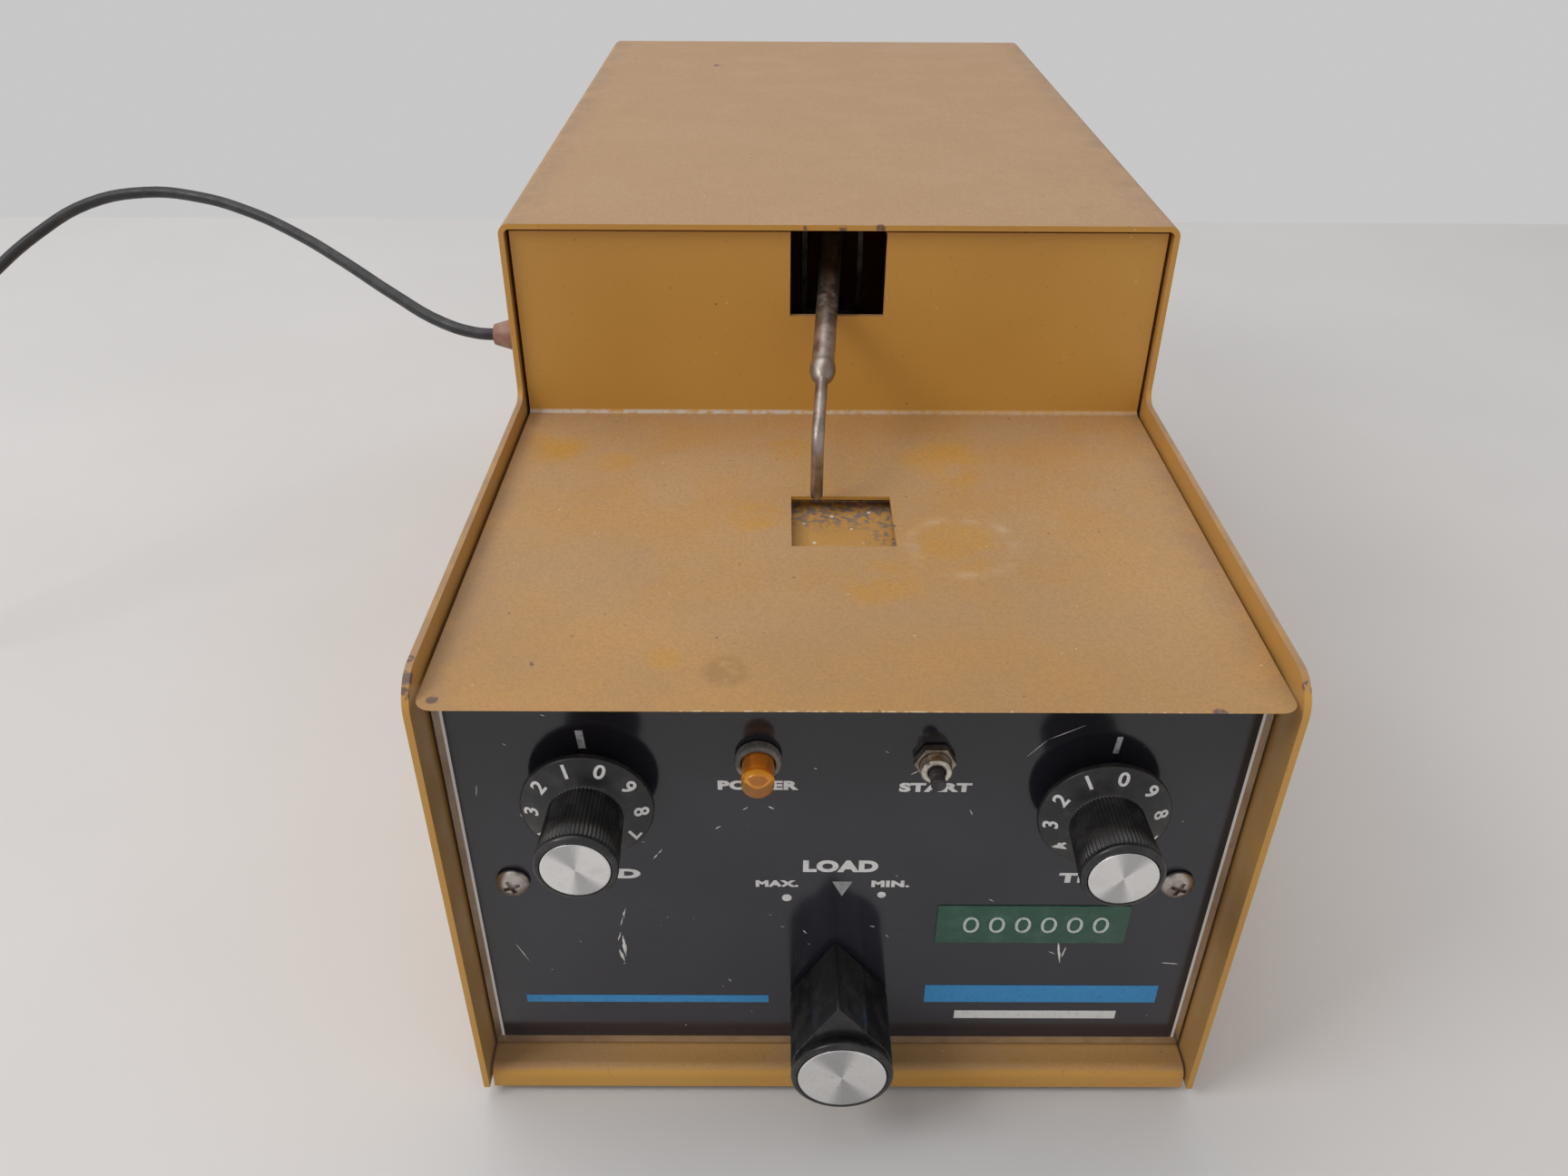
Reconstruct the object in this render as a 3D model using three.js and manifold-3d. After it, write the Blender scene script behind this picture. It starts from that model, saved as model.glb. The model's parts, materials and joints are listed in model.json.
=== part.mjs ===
// Bench-top specimen polisher: a sheet-metal housing with a deck, and a sprung load arm that a crank
// strokes and swings over it. Millimetres, +Z up, front towards -Y, origin on the floor under the
// middle of the machine.
import * as THREE from 'three';
import { mergeVertices } from 'three/addons/utils/BufferGeometryUtils.js';
import Module from 'manifold-3d';

const wasm = await Module();
wasm.setup();

// ---------------------------------------------------------------- driving dimensions
// The machine is drawn with Y = 0 at the front edge of its side panels and Z = 0 at their lower edge.
const WIDTH = 182;
const HEIGHT = 181.5;
const DEPTH = 402;
const SHEET = 1.5;
const FIT_GAP = 0.3;             // left between pieces that touch
const TOP_BEND = 3;              // outer radius of the cover's top edges
const DECK_TOP = 126;
const LIP_TOP = 131;             // side panels stand this high beside the deck
const LIP_CORNER = 8;
const STEP_Y = 133;              // front edge of the upper housing
const STEP_FILLET = 4;
const WALL_Y = 135;              // front face of the upper front wall
const DECK_HALF = 88.5;
const DECK_FRONT = -1.5;         // the deck stands a little proud of the side panels
const BASE_HALF = 88.7;
const BASE_FRONT = 1.5;
const FLOOR_TOP = 5;
const PANEL_Y = 9.5;             // face of the front panel
const PANEL_THICK = 2;
const FOOT_HEIGHT = 4;           // floor to the side panels' lower edge
const KNOB_REACH = 24;           // panel face to the front of the knobs
const FRONT_MOST = PANEL_Y - KNOB_REACH;
const CENTRE_Y = (FRONT_MOST + DEPTH) / 2;

const WINDOW = { half: 13, bottom: 155.5 };
const CUTOUT = { half: 12.7, front: 61, rear: 85.4 };
const RECESS = { half: 18, front: 56, rear: 91, floor: 122 };

const SPEED = { x: -57, z: 94.75 };
const TIME = { x: 55.25, z: 92.75 };
const LOAD = { x: -0.4, z: 25.2 };
const LAMP = { x: -20, z: 104.2 };
const START = { x: 18, z: 104.4 };
const PANEL_SCREW = { x: 77.4, z: 66 };

// Arm and drive, at rest
const PIVOT_Y = 172;
const PIVOT_Z = 172.6;
const ARM_YAW = THREE.MathUtils.degToRad(-4);
const ARM_SLOPE = THREE.MathUtils.degToRad(17.3);
const ARM_REACH = 89.5;          // horizontal distance from the pivot to the tip
const ARM_SHOULDER = 69.7;       // along the rod, from the pivot to where it turns thin
const ARM_BEND = 6.5;
const ARM_THICK_R = 3;
const ARM_THIN_R = 1.6;
const CRANK = { y: 210, radius: 11.5, lever: 49.1, top: 86 };
const GUIDE = { x: 28, z: 103, r: 3 };
const CARRIAGE = { front: 158, rear: 198, bottom: 96, top: 110, half: 36 };
const LEVER = { bottom: 88, top: 92 };
const FRAME_TOP = 75;
const STEM_R = 3.5;
const PUSH_ROD = { y: 180, r: 1.5, bottom: 41.5, top: 167.4 };
const CAM = { r: 8, offset: 4, front: 148, rear: 188 };

// Free cord, in the finished frame (origin on the floor)
const CORD_R = 2;
const COIL = { x: -345, y: -95, inner: 20.8, outer: 35.2, bottom: 1, top: 13.6 };

// ---------------------------------------------------------------- geometry helpers
const WELD = 1e-4;

function toSolid(geometry) {
  const bare = geometry.clone();
  bare.deleteAttribute('normal');
  bare.deleteAttribute('uv');
  const welded = mergeVertices(bare, WELD);
  const vertProperties = new Float32Array(welded.attributes.position.array);
  const triVerts = [];
  const index = welded.index.array;
  for (let i = 0; i < index.length; i += 3) {
    const [a, b, c] = [index[i], index[i + 1], index[i + 2]];
    if (a !== b && b !== c && c !== a) triVerts.push(a, b, c);
  }
  if (signedVolume(vertProperties, triVerts) < 0) triVerts.reverse();
  const mesh = new wasm.Mesh({ numProp: 3, vertProperties, triVerts: new Uint32Array(triVerts) });
  return new wasm.Manifold(mesh);
}

function signedVolume(xyz, triangles) {
  const corner = (i) => new THREE.Vector3(xyz[3 * i], xyz[3 * i + 1], xyz[3 * i + 2]);
  let sum = 0;
  for (let i = 0; i < triangles.length; i += 3) {
    const [a, b, c] = [corner(triangles[i]), corner(triangles[i + 1]), corner(triangles[i + 2])];
    sum += a.dot(b.cross(c)) / 6;
  }
  return sum;
}

function toGeometry(solid) {
  const { vertProperties, triVerts } = solid.getMesh();
  const geometry = new THREE.BufferGeometry();
  geometry.setAttribute('position', new THREE.BufferAttribute(vertProperties, 3));
  geometry.setIndex(new THREE.BufferAttribute(triVerts, 1));
  geometry.computeVertexNormals();
  return geometry;
}

const join = (first, ...others) => others.reduce((sum, other) => sum.add(other), first);
const cut = (first, ...others) => others.reduce((rest, other) => rest.subtract(other), first);

function block(x0, x1, y0, y1, z0, z1) {
  const geometry = new THREE.BoxGeometry(x1 - x0, y1 - y0, z1 - z0);
  return toSolid(geometry.translate((x0 + x1) / 2, (y0 + y1) / 2, (z0 + z1) / 2));
}

// Round bars along each axis
function barX(y, z, r, x0, x1, sides = 24) {
  const geometry = new THREE.CylinderGeometry(r, r, x1 - x0, sides).rotateZ(Math.PI / 2);
  return toSolid(geometry.translate((x0 + x1) / 2, y, z));
}

function barY(x, z, r, y0, y1, sides = 24) {
  const geometry = new THREE.CylinderGeometry(r, r, y1 - y0, sides);
  return toSolid(geometry.translate(x, (y0 + y1) / 2, z));
}

function barZ(x, y, r, z0, z1, sides = 24) {
  const geometry = new THREE.CylinderGeometry(r, r, z1 - z0, sides).rotateX(Math.PI / 2);
  return toSolid(geometry.translate(x, y, (z0 + z1) / 2));
}

// Turned pieces: profile points are [radius, position along the axis]. A profile that doesn't start
// on the axis is a ring, and closes on itself.
function turned(profile, sides) {
  const whole = profile[0][0] === 0 ? profile : [...profile, profile[0]];
  return new THREE.LatheGeometry(whole.map(([r, along]) => new THREE.Vector2(r, along)), sides);
}

const turnedY = (profile, x, z, sides = 48) => toSolid(turned(profile, sides).translate(x, 0, z));

const turnedZ = (profile, x, y, sides = 48) => (
  toSolid(turned(profile, sides).rotateX(Math.PI / 2).translate(x, y, 0)));

function shapeOf(points) {
  return new THREE.Shape(points.map(([a, b]) => new THREE.Vector2(a, b)));
}

function extrude(shape, depth, curveSegments = 6) {
  return new THREE.ExtrudeGeometry(shape, { depth, bevelEnabled: false, curveSegments });
}

// Outline in (Y, Z), pulled along X
function prismX(shape, x0, x1, curveSegments) {
  const axes = new THREE.Matrix4().makeBasis(
    new THREE.Vector3(0, 1, 0), new THREE.Vector3(0, 0, 1), new THREE.Vector3(1, 0, 0));
  return toSolid(extrude(shape, x1 - x0, curveSegments).applyMatrix4(axes).translate(x0, 0, 0));
}

// Outline in (X, Z), pulled along Y
function prismY(shape, y0, y1, curveSegments) {
  return toSolid(extrude(shape, y1 - y0, curveSegments).rotateX(Math.PI / 2).translate(0, y1, 0));
}

// Outline in (X, Y), pulled along Z
function prismZ(shape, z0, z1, curveSegments) {
  return toSolid(extrude(shape, z1 - z0, curveSegments).translate(0, 0, z0));
}

function roundedSlab(halfX, y0, y1, z0, z1, frontRadius) {
  const shape = new THREE.Shape();
  shape.moveTo(-halfX, y1);
  shape.lineTo(-halfX, y0 + frontRadius);
  shape.absarc(-halfX + frontRadius, y0 + frontRadius, frontRadius, Math.PI, 1.5 * Math.PI, false);
  shape.absarc(halfX - frontRadius, y0 + frontRadius, frontRadius, 1.5 * Math.PI, 2 * Math.PI, false);
  shape.lineTo(halfX, y1);
  return prismZ(shape, z0, z1);
}

function hexagon(acrossFlats) {
  const r = acrossFlats / Math.sqrt(3);
  const corner = (i) => [r * Math.cos(i * Math.PI / 3), r * Math.sin(i * Math.PI / 3)];
  return shapeOf([0, 1, 2, 3, 4, 5].map(corner));
}

// A round wire or cord along a curve
function wire(curve, radius, steps, sides) {
  const section = new THREE.Shape();
  for (let i = 0; i < sides; i += 1) {
    const angle = 2 * Math.PI * i / sides;
    const [a, b] = [radius * Math.cos(angle), radius * Math.sin(angle)];
    if (i === 0) section.moveTo(a, b);
    else section.lineTo(a, b);
  }
  return toSolid(new THREE.ExtrudeGeometry(section, { steps, extrudePath: curve, bevelEnabled: false }));
}

// ---------------------------------------------------------------- materials
const finish = (color, roughness, metalness) => ({ color, roughness, metalness });
const PAINT = finish(0xb98a3e, 0.6, 0.1);
const PLATE = finish(0x8f8f8c, 0.45, 0.9);
const PANEL_BLACK = finish(0x2a2a2e, 0.45, 0.1);
const KNOB_BLACK = finish(0x17171a, 0.4, 0);
const SPUN = finish(0xcfcdc8, 0.3, 1);
const STEEL = finish(0x9a938c, 0.35, 1);
const BRASS = finish(0xa98f55, 0.4, 1);
const RUBBER = finish(0x1d1d1d, 0.9, 0);
const AMBER = finish(0xe08a1e, 0.2, 0);
const BOARD = finish(0x2f6b3d, 0.6, 0);
const GLAND = finish(0x8a6f63, 0.7, 0);
const BAKELITE = finish(0x5a4636, 0.6, 0);

function place(group, name, solid, look) {
  const material = new THREE.MeshStandardMaterial(look);
  const mesh = new THREE.Mesh(toGeometry(solid), material);
  mesh.name = name;
  group.add(mesh);
}

// ---------------------------------------------------------------- sheet metal
function coverSection(inset, radius) {
  const half = WIDTH / 2 - inset;
  const top = HEIGHT - inset;
  const shape = new THREE.Shape();
  shape.moveTo(-half, -inset);
  shape.lineTo(half, -inset);
  shape.absarc(half - radius, top - radius, radius, 0, Math.PI / 2, false);
  shape.absarc(-half + radius, top - radius, radius, Math.PI / 2, Math.PI, false);
  return shape;
}

const coverScrewHoles = () => COVER_SCREWS.map(({ y }) => (
  barX(y, COVER_SCREW_Z, SCREW_SHANK_R + FIT_GAP, -WIDTH, WIDTH, 20)));

function coverShell() {
  const side = new THREE.Shape();
  side.moveTo(DEPTH, 0);
  side.lineTo(DEPTH, HEIGHT);
  side.lineTo(STEP_Y, HEIGHT);
  side.absarc(STEP_Y - STEP_FILLET, LIP_TOP + STEP_FILLET, STEP_FILLET, 0, -Math.PI / 2, true);
  side.absarc(LIP_CORNER, LIP_TOP - LIP_CORNER, LIP_CORNER, Math.PI / 2, Math.PI, false);
  side.lineTo(0, 0);
  const outer = prismY(coverSection(0, TOP_BEND), 0, DEPTH);
  const inner = prismY(coverSection(SHEET, TOP_BEND - SHEET), -1, DEPTH + 1);
  const stepped = prismX(side, -WIDTH / 2 - 1, WIDTH / 2 + 1, 8);
  const glandHole = barX(GLAND_AT.y, GLAND_AT.z, GLAND_NECK_R + FIT_GAP, -WIDTH, 0, 24);
  return cut(outer.subtract(inner).intersect(stepped), ...coverScrewHoles(), glandHole);
}

const FLANGE = 12;
const WALL_BEND = 1.2;           // inner radius where the deck folds up into the wall

function deckSheet() {
  const wallTop = HEIGHT - SHEET - 1;
  const profile = new THREE.Shape();
  profile.moveTo(DECK_FRONT, DECK_TOP - SHEET);
  profile.absarc(WALL_Y - WALL_BEND, DECK_TOP + WALL_BEND, WALL_BEND + SHEET, -Math.PI / 2, 0, false);
  profile.lineTo(WALL_Y + SHEET, wallTop - SHEET);
  profile.lineTo(WALL_Y + FLANGE, wallTop - SHEET);
  profile.lineTo(WALL_Y + FLANGE, wallTop);
  profile.lineTo(WALL_Y, wallTop);
  profile.absarc(WALL_Y - WALL_BEND, DECK_TOP + WALL_BEND, WALL_BEND, 0, -Math.PI / 2, true);
  profile.lineTo(DECK_FRONT, DECK_TOP);
  const folded = prismX(profile, -DECK_HALF, DECK_HALF);
  const outline = roundedSlab(DECK_HALF, DECK_FRONT, WALL_Y + FLANGE + 1, 0, HEIGHT, 4);
  const flanges = [-1, 1].flatMap((side) => {
    const [x0, x1] = side < 0 ? [-DECK_HALF, -DECK_HALF + SHEET] : [DECK_HALF - SHEET, DECK_HALF];
    return [
      block(x0, x1, 16, WALL_Y - 6, DECK_TOP - SHEET - FLANGE, DECK_TOP - SHEET / 2),
      block(x0, x1, WALL_Y + SHEET / 2, WALL_Y + FLANGE, DECK_TOP + 4, wallTop - SHEET / 2),
    ];
  });
  const window = block(-WINDOW.half, WINDOW.half, WALL_Y - 3, WALL_Y + FLANGE + 2, WINDOW.bottom, HEIGHT);
  const hole = block(-CUTOUT.half, CUTOUT.half, CUTOUT.front, CUTOUT.rear, DECK_TOP - 5, DECK_TOP + 5);
  return cut(join(folded.intersect(outline), ...flanges), window, hole);
}

function recessPan() {
  const { half, front, rear, floor } = RECESS;
  const rim = DECK_TOP - SHEET - FIT_GAP;
  const outer = block(-half, half, front, rear, floor - SHEET, rim);
  const inner = block(-half + SHEET, half - SHEET, front + SHEET, rear - SHEET, floor, rim + 1);
  return outer.subtract(inner);
}

const REAR_WALL_Y = DEPTH - 1.5;
const FLOOR_BEND = 3;
const VENT = { count: 9, pitch: 12, half: 2, bottom: 120, top: 150 };

function baseChassis() {
  const under = FLOOR_TOP - SHEET;
  const wallTop = HEIGHT - SHEET - 1;
  const lipBottom = -1.5;
  const [bendY, bendZ] = [BASE_FRONT + FLOOR_BEND, FLOOR_TOP - FLOOR_BEND];
  const profile = new THREE.Shape();
  profile.moveTo(BASE_FRONT, lipBottom);
  profile.lineTo(BASE_FRONT + SHEET, lipBottom);
  profile.absarc(bendY, bendZ, FLOOR_BEND - SHEET, Math.PI, Math.PI / 2, true);
  profile.lineTo(REAR_WALL_Y, under);
  profile.lineTo(REAR_WALL_Y, wallTop);
  profile.lineTo(REAR_WALL_Y - SHEET, wallTop);
  profile.lineTo(REAR_WALL_Y - SHEET, FLOOR_TOP);
  profile.absarc(bendY, bendZ, FLOOR_BEND, Math.PI / 2, Math.PI, false);
  const folded = prismX(profile, -BASE_HALF, BASE_HALF);
  const flangeFront = PANEL_Y + PANEL_THICK + 2;
  const flanges = [-1, 1].map((side) => {
    const [x0, x1] = side < 0 ? [-BASE_HALF, -BASE_HALF + SHEET] : [BASE_HALF - SHEET, BASE_HALF];
    return block(x0, x1, flangeFront, REAR_WALL_Y - 4, FLOOR_TOP - SHEET / 2, FLOOR_TOP + 14);
  });
  const vents = [];
  for (let i = 0; i < VENT.count; i += 1) {
    const x = (i - (VENT.count - 1) / 2) * VENT.pitch;
    const [x0, x1] = [x - VENT.half, x + VENT.half];
    vents.push(block(x0, x1, REAR_WALL_Y - 4, REAR_WALL_Y + 4, VENT.bottom, VENT.top));
  }
  return cut(join(folded, ...flanges), ...coverScrewHoles(), ...vents);
}

const PANEL_TOP = DECK_TOP - SHEET - 0.7;
const PANEL_BOTTOM = FLOOR_TOP + 0.5;
const CONTROL_BUSH_R = 4.5;
const LOAD_BUSH_R = 4.9;
const LAMP_R = 3.9;
const SWITCH_BUSH_R = 3.1;

function frontPanel() {
  const y0 = PANEL_Y - 1;
  const y1 = PANEL_Y + PANEL_THICK + 1;
  const plate = block(-BASE_HALF, BASE_HALF, PANEL_Y, PANEL_Y + PANEL_THICK, PANEL_BOTTOM, PANEL_TOP);
  return cut(
    plate,
    barY(SPEED.x, SPEED.z, CONTROL_BUSH_R + FIT_GAP, y0, y1),
    barY(TIME.x, TIME.z, CONTROL_BUSH_R + FIT_GAP, y0, y1),
    barY(LOAD.x, LOAD.z, LOAD_BUSH_R + FIT_GAP, y0, y1),
    barY(LAMP.x, LAMP.z, LAMP_R + FIT_GAP, y0, y1),
    barY(START.x, START.z, SWITCH_BUSH_R + FIT_GAP, y0, y1),
    barY(-PANEL_SCREW.x, PANEL_SCREW.z, SCREW_SHANK_R + FIT_GAP, y0, y1, 20),
    barY(PANEL_SCREW.x, PANEL_SCREW.z, SCREW_SHANK_R + FIT_GAP, y0, y1, 20),
  );
}

// Angle brackets behind the panel's two ends, which the panel screws bite in
function panelBracket(side) {
  const front = PANEL_Y + PANEL_THICK + FIT_GAP;
  const outer = BASE_HALF - SHEET - FIT_GAP;
  const leg = 14;
  const bottom = FLOOR_TOP + FIT_GAP;
  const top = PANEL_TOP - FLANGE - 2;
  const [a0, a1] = side < 0 ? [-outer, -outer + SHEET] : [outer - SHEET, outer];
  const [b0, b1] = side < 0 ? [-outer, -outer + leg] : [outer - leg, outer];
  return cut(
    block(a0, a1, front, front + leg, bottom, top).add(block(b0, b1, front, front + SHEET, bottom, top)),
    barY(side * PANEL_SCREW.x, PANEL_SCREW.z, SCREW_SHANK_R + FIT_GAP, front - 1, front + 3, 20),
  );
}

// ---------------------------------------------------------------- fasteners, feet
const SCREW_SHANK_R = 2;
const SCREW_HEAD_R = 3.95;
const SCREW_HEAD = 2.3;
const COVER_SCREW_Z = 12;
const COVER_SCREWS = [
  { name: 'cover_screw_front_left', side: -1, y: 42 },
  { name: 'cover_screw_front_right', side: 1, y: 42 },
  { name: 'cover_screw_rear_left', side: -1, y: 362 },
  { name: 'cover_screw_rear_right', side: 1, y: 362 },
];

// Pan head with a cross recess, axis along Y, head towards -Y, its seat at Y = 0
function panScrew(length) {
  const crown = [[0, -SCREW_HEAD], [2, -SCREW_HEAD + 0.15], [3.3, -SCREW_HEAD + 0.8],
    [SCREW_HEAD_R, -SCREW_HEAD + 1.75], [SCREW_HEAD_R, 0]];
  const shank = [[SCREW_SHANK_R, 0], [SCREW_SHANK_R, length], [0, length]];
  const body = turnedY([...crown, ...shank], 0, 0, 20);
  const slot = 0.5;
  const arm = 2.1;
  return cut(
    body,
    block(-arm, arm, -SCREW_HEAD - 1, -SCREW_HEAD + 1.3, -slot, slot),
    block(-slot, slot, -SCREW_HEAD - 1, -SCREW_HEAD + 1.3, -arm, arm),
  );
}

function addScrews(machine) {
  for (const [name, side] of [['panel_screw_left', -1], ['panel_screw_right', 1]]) {
    const group = new THREE.Group();
    group.position.set(side * PANEL_SCREW.x, PANEL_Y - FIT_GAP, PANEL_SCREW.z);
    group.rotation.y = side * 0.4;
    machine.add(group);
    place(group, name, panScrew(8), STEEL);
  }
  for (const { name, side, y } of COVER_SCREWS) {
    const group = new THREE.Group();
    group.position.set(side * (WIDTH / 2 + FIT_GAP), y, COVER_SCREW_Z);
    group.rotation.z = side * Math.PI / 2;
    machine.add(group);
    place(group, name, panScrew(6), STEEL);
  }
}

const FOOT = { x: 70, front: 30, rear: 373, lowR: 7, topR: 8.6 };

function addFeet(machine) {
  const top = FLOOR_TOP - SHEET - FIT_GAP;
  const profile = [
    [0, -FOOT_HEIGHT + 1.2], [3, -FOOT_HEIGHT + 1.2], [3.4, -FOOT_HEIGHT], [FOOT.lowR, -FOOT_HEIGHT],
    [FOOT.topR, top], [0, top],
  ];
  for (const [end, y] of [['front', FOOT.front], ['rear', FOOT.rear]]) {
    for (const [side, x] of [['left', -FOOT.x], ['right', FOOT.x]]) {
      place(machine, `foot_${end}_${side}`, turnedZ(profile, x, y, 24), RUBBER);
    }
  }
}

// ---------------------------------------------------------------- panel controls
const SHAFT_R = 3;
const DIAL = { skirtR: 14.5, bodyR: 8.7, flutes: 56, capR: 7.3 };
const KNOB_REAR = PANEL_Y - 0.6;

// Outline of a ring of fine flutes between two radii
function flutedOutline(radius, depth, count) {
  const points = [];
  for (let i = 0; i < count; i += 1) {
    const step = 2 * Math.PI / count;
    points.push([radius * Math.cos(i * step), radius * Math.sin(i * step)]);
    const valley = (i + 0.5) * step;
    points.push([(radius - depth) * Math.cos(valley), (radius - depth) * Math.sin(valley)]);
  }
  return shapeOf(points);
}

function dialKnob({ x, z }) {
  const front = FRONT_MOST + 0.2;
  const [skirtRear, hubR] = [PANEL_Y - 4.6, 9.4];
  const profile = [
    [0, front + 0.9], [DIAL.capR + FIT_GAP, front + 0.9], [DIAL.capR + FIT_GAP, front],
    [8.2, front], [8.85, front + 0.4], [8.85, front + 1.4], [8.1, front + 2.2],
    [8.1, PANEL_Y - 8], [9, PANEL_Y - 7.5], [DIAL.skirtR, PANEL_Y - 6.1], [DIAL.skirtR, skirtRear],
    [hubR, skirtRear], [hubR, KNOB_REAR], [0, KNOB_REAR],
  ];
  const core = turnedY(profile, x, z, 40);
  const grip = prismY(flutedOutline(DIAL.bodyR, 0.3, DIAL.flutes), front + 2.2, PANEL_Y - 7.4);
  const bore = barY(x, z, SHAFT_R + FIT_GAP, FRONT_MOST + 7, PANEL_Y, 24);
  const nutPocket = barY(x, z, 8.6, PANEL_Y - 4, PANEL_Y, 24);
  return cut(join(core, grip.translate([x, 0, z])), bore, nutPocket);
}

function spunCap({ x, z }, radius, seat) {
  return turnedY([[0, FRONT_MOST], [radius - 0.3, FRONT_MOST], [radius, FRONT_MOST + 0.25],
    [radius, seat], [0, seat]], x, z, 40);
}

function controlBody({ x, z }) {
  const back = PANEL_Y + PANEL_THICK + FIT_GAP;
  const bushFront = PANEL_Y - 3.6;
  const [boreR, shoulderR, bodyR] = [SHAFT_R + FIT_GAP, 7, 12];
  return turnedY([
    [boreR, bushFront], [CONTROL_BUSH_R, bushFront], [CONTROL_BUSH_R, back],
    [shoulderR, back], [shoulderR, back + 2], [bodyR, back + 2], [bodyR, back + 14],
    [0, back + 14], [0, back + 12], [boreR, back + 12],
  ], x, z, 24);
}

function hexNut({ x, z }, acrossFlats, boreR, y0, y1) {
  const outer = prismY(hexagon(acrossFlats), y0, y1).translate([x, 0, z]);
  return outer.subtract(barY(x, z, boreR, y0 - 1, y1 + 1, 24));
}

const CAP_SEAT = FRONT_MOST + 0.8;
const SHAFT_FRONT = FRONT_MOST + 7.4;
const CONTROL_NUT = 12.7;        // across flats

function addDial(machine, word, centre) {
  const shaft = barY(centre.x, centre.z, SHAFT_R, SHAFT_FRONT, PANEL_Y + 13.8, 24);
  const nut = hexNut(centre, CONTROL_NUT, CONTROL_BUSH_R + FIT_GAP, PANEL_Y - 2.6, PANEL_Y - FIT_GAP);
  place(machine, `${word}_knob`, dialKnob(centre), KNOB_BLACK);
  place(machine, `${word}_knob_cap`, spunCap(centre, DIAL.capR, CAP_SEAT), SPUN);
  place(machine, `${word}_shaft`, shaft, STEEL);
  place(machine, `${word}_control`, controlBody(centre), PLATE);
  place(machine, `${word}_nut`, nut, STEEL);
}

const POINTER = { r: 12.1, tip: 21.3, smooth: 6.5, flutes: 9, pitch: 1.05, dip: 0.3, end: 3.4, capR: 10.5 };
const POINTER_TURN = -3.7;       // degrees from upright, clockwise from the front
const POINTER_REAR = PANEL_Y - 1.4;

// Teardrop outline: two straight flanks from the pointed tip down to a round body. The flanks' lower
// part and the round are fluted.
function pointerOutline() {
  const { r, tip, smooth, flutes, pitch, dip } = POINTER;
  const tangent = Math.acos(r / tip);                 // from the tip's direction to the tangent point
  const right = [r * Math.sin(tangent), r * Math.cos(tangent)];
  const startShare = smooth / right[0];
  const flankStart = [smooth, tip + (right[1] - tip) * startShare];
  const half = [flankStart];
  const flankLength = Math.hypot(right[0] - flankStart[0], right[1] - flankStart[1]);
  const inward = [-right[0] / r, -right[1] / r];
  const flankSteps = Math.round(flankLength / pitch);
  for (let i = 0; i < flankSteps; i += 1) {
    for (const [share, depth] of [[(i + 0.5) / flankSteps, dip], [(i + 1) / flankSteps, 0]]) {
      half.push([
        flankStart[0] + (right[0] - flankStart[0]) * share + inward[0] * depth,
        flankStart[1] + (right[1] - flankStart[1]) * share + inward[1] * depth,
      ]);
    }
  }
  const from = Math.PI / 2 - tangent;
  const arcSteps = flutes * 2;
  for (let i = 1; i <= 2 * arcSteps; i += 1) {
    const angle = from - (from + Math.PI / 2) * i / (2 * arcSteps);
    const radius = i % 2 === 1 ? r - dip : r;
    half.push([radius * Math.cos(angle), radius * Math.sin(angle)]);
  }
  const mirrored = half.slice(0, -1).reverse().map(([a, b]) => [-a, b]);
  return shapeOf([[0, tip], ...half, ...mirrored].reverse());
}

function pointerKnob() {
  const { x, z } = LOAD;
  const collar = FRONT_MOST + POINTER.end;
  const upright = prismY(pointerOutline(), collar, POINTER_REAR);
  const body = upright.rotate([0, POINTER_TURN, 0]).translate([x, 0, z]);
  const seatR = POINTER.capR + FIT_GAP;
  const [rimR, neckR] = [12.2, 11.7];
  const rim = turnedY([
    [0, FRONT_MOST + 1.1], [seatR, FRONT_MOST + 1.1], [seatR, FRONT_MOST + 0.2],
    [rimR - 0.7, FRONT_MOST + 0.2], [rimR, FRONT_MOST + 0.8], [rimR, FRONT_MOST + 2],
    [neckR, FRONT_MOST + 2.5], [neckR, collar + 0.5], [0, collar + 0.5],
  ], x, z, 40);
  const bore = barY(x, z, 3.5, FRONT_MOST + 7, PANEL_Y);
  const flangePocket = barY(x, z, 7.6, PANEL_Y - 2.6, PANEL_Y);
  return cut(join(body, rim), bore, flangePocket);
}

const LOAD_SHAFT_R = 3.175;      // quarter-inch shaft

function loadShaft() {
  const cam = barY(LOAD.x + CAM.offset, LOAD.z, CAM.r, CAM.front, CAM.rear, 40);
  return join(barY(LOAD.x, LOAD.z, LOAD_SHAFT_R, SHAFT_FRONT, CAM.rear + 2, 32), cam);
}

function loadBush() {
  const [boreR, flangeR] = [LOAD_SHAFT_R + FIT_GAP, 7];
  const [front, seat, rear] = [PANEL_Y - 1.8, PANEL_Y - FIT_GAP, PANEL_Y + 9];
  return turnedY([
    [boreR, front], [flangeR, front], [flangeR, seat],
    [LOAD_BUSH_R, seat], [LOAD_BUSH_R, rear], [boreR, rear],
  ], LOAD.x, LOAD.z, 24);
}

function addLoadControl(machine) {
  place(machine, 'load_knob', pointerKnob(), KNOB_BLACK);
  place(machine, 'load_knob_cap', spunCap(LOAD, POINTER.capR, FRONT_MOST + 0.8), SPUN);
  place(machine, 'load_shaft', loadShaft(), STEEL);
  place(machine, 'load_bush', loadBush(), BRASS);
}

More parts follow.
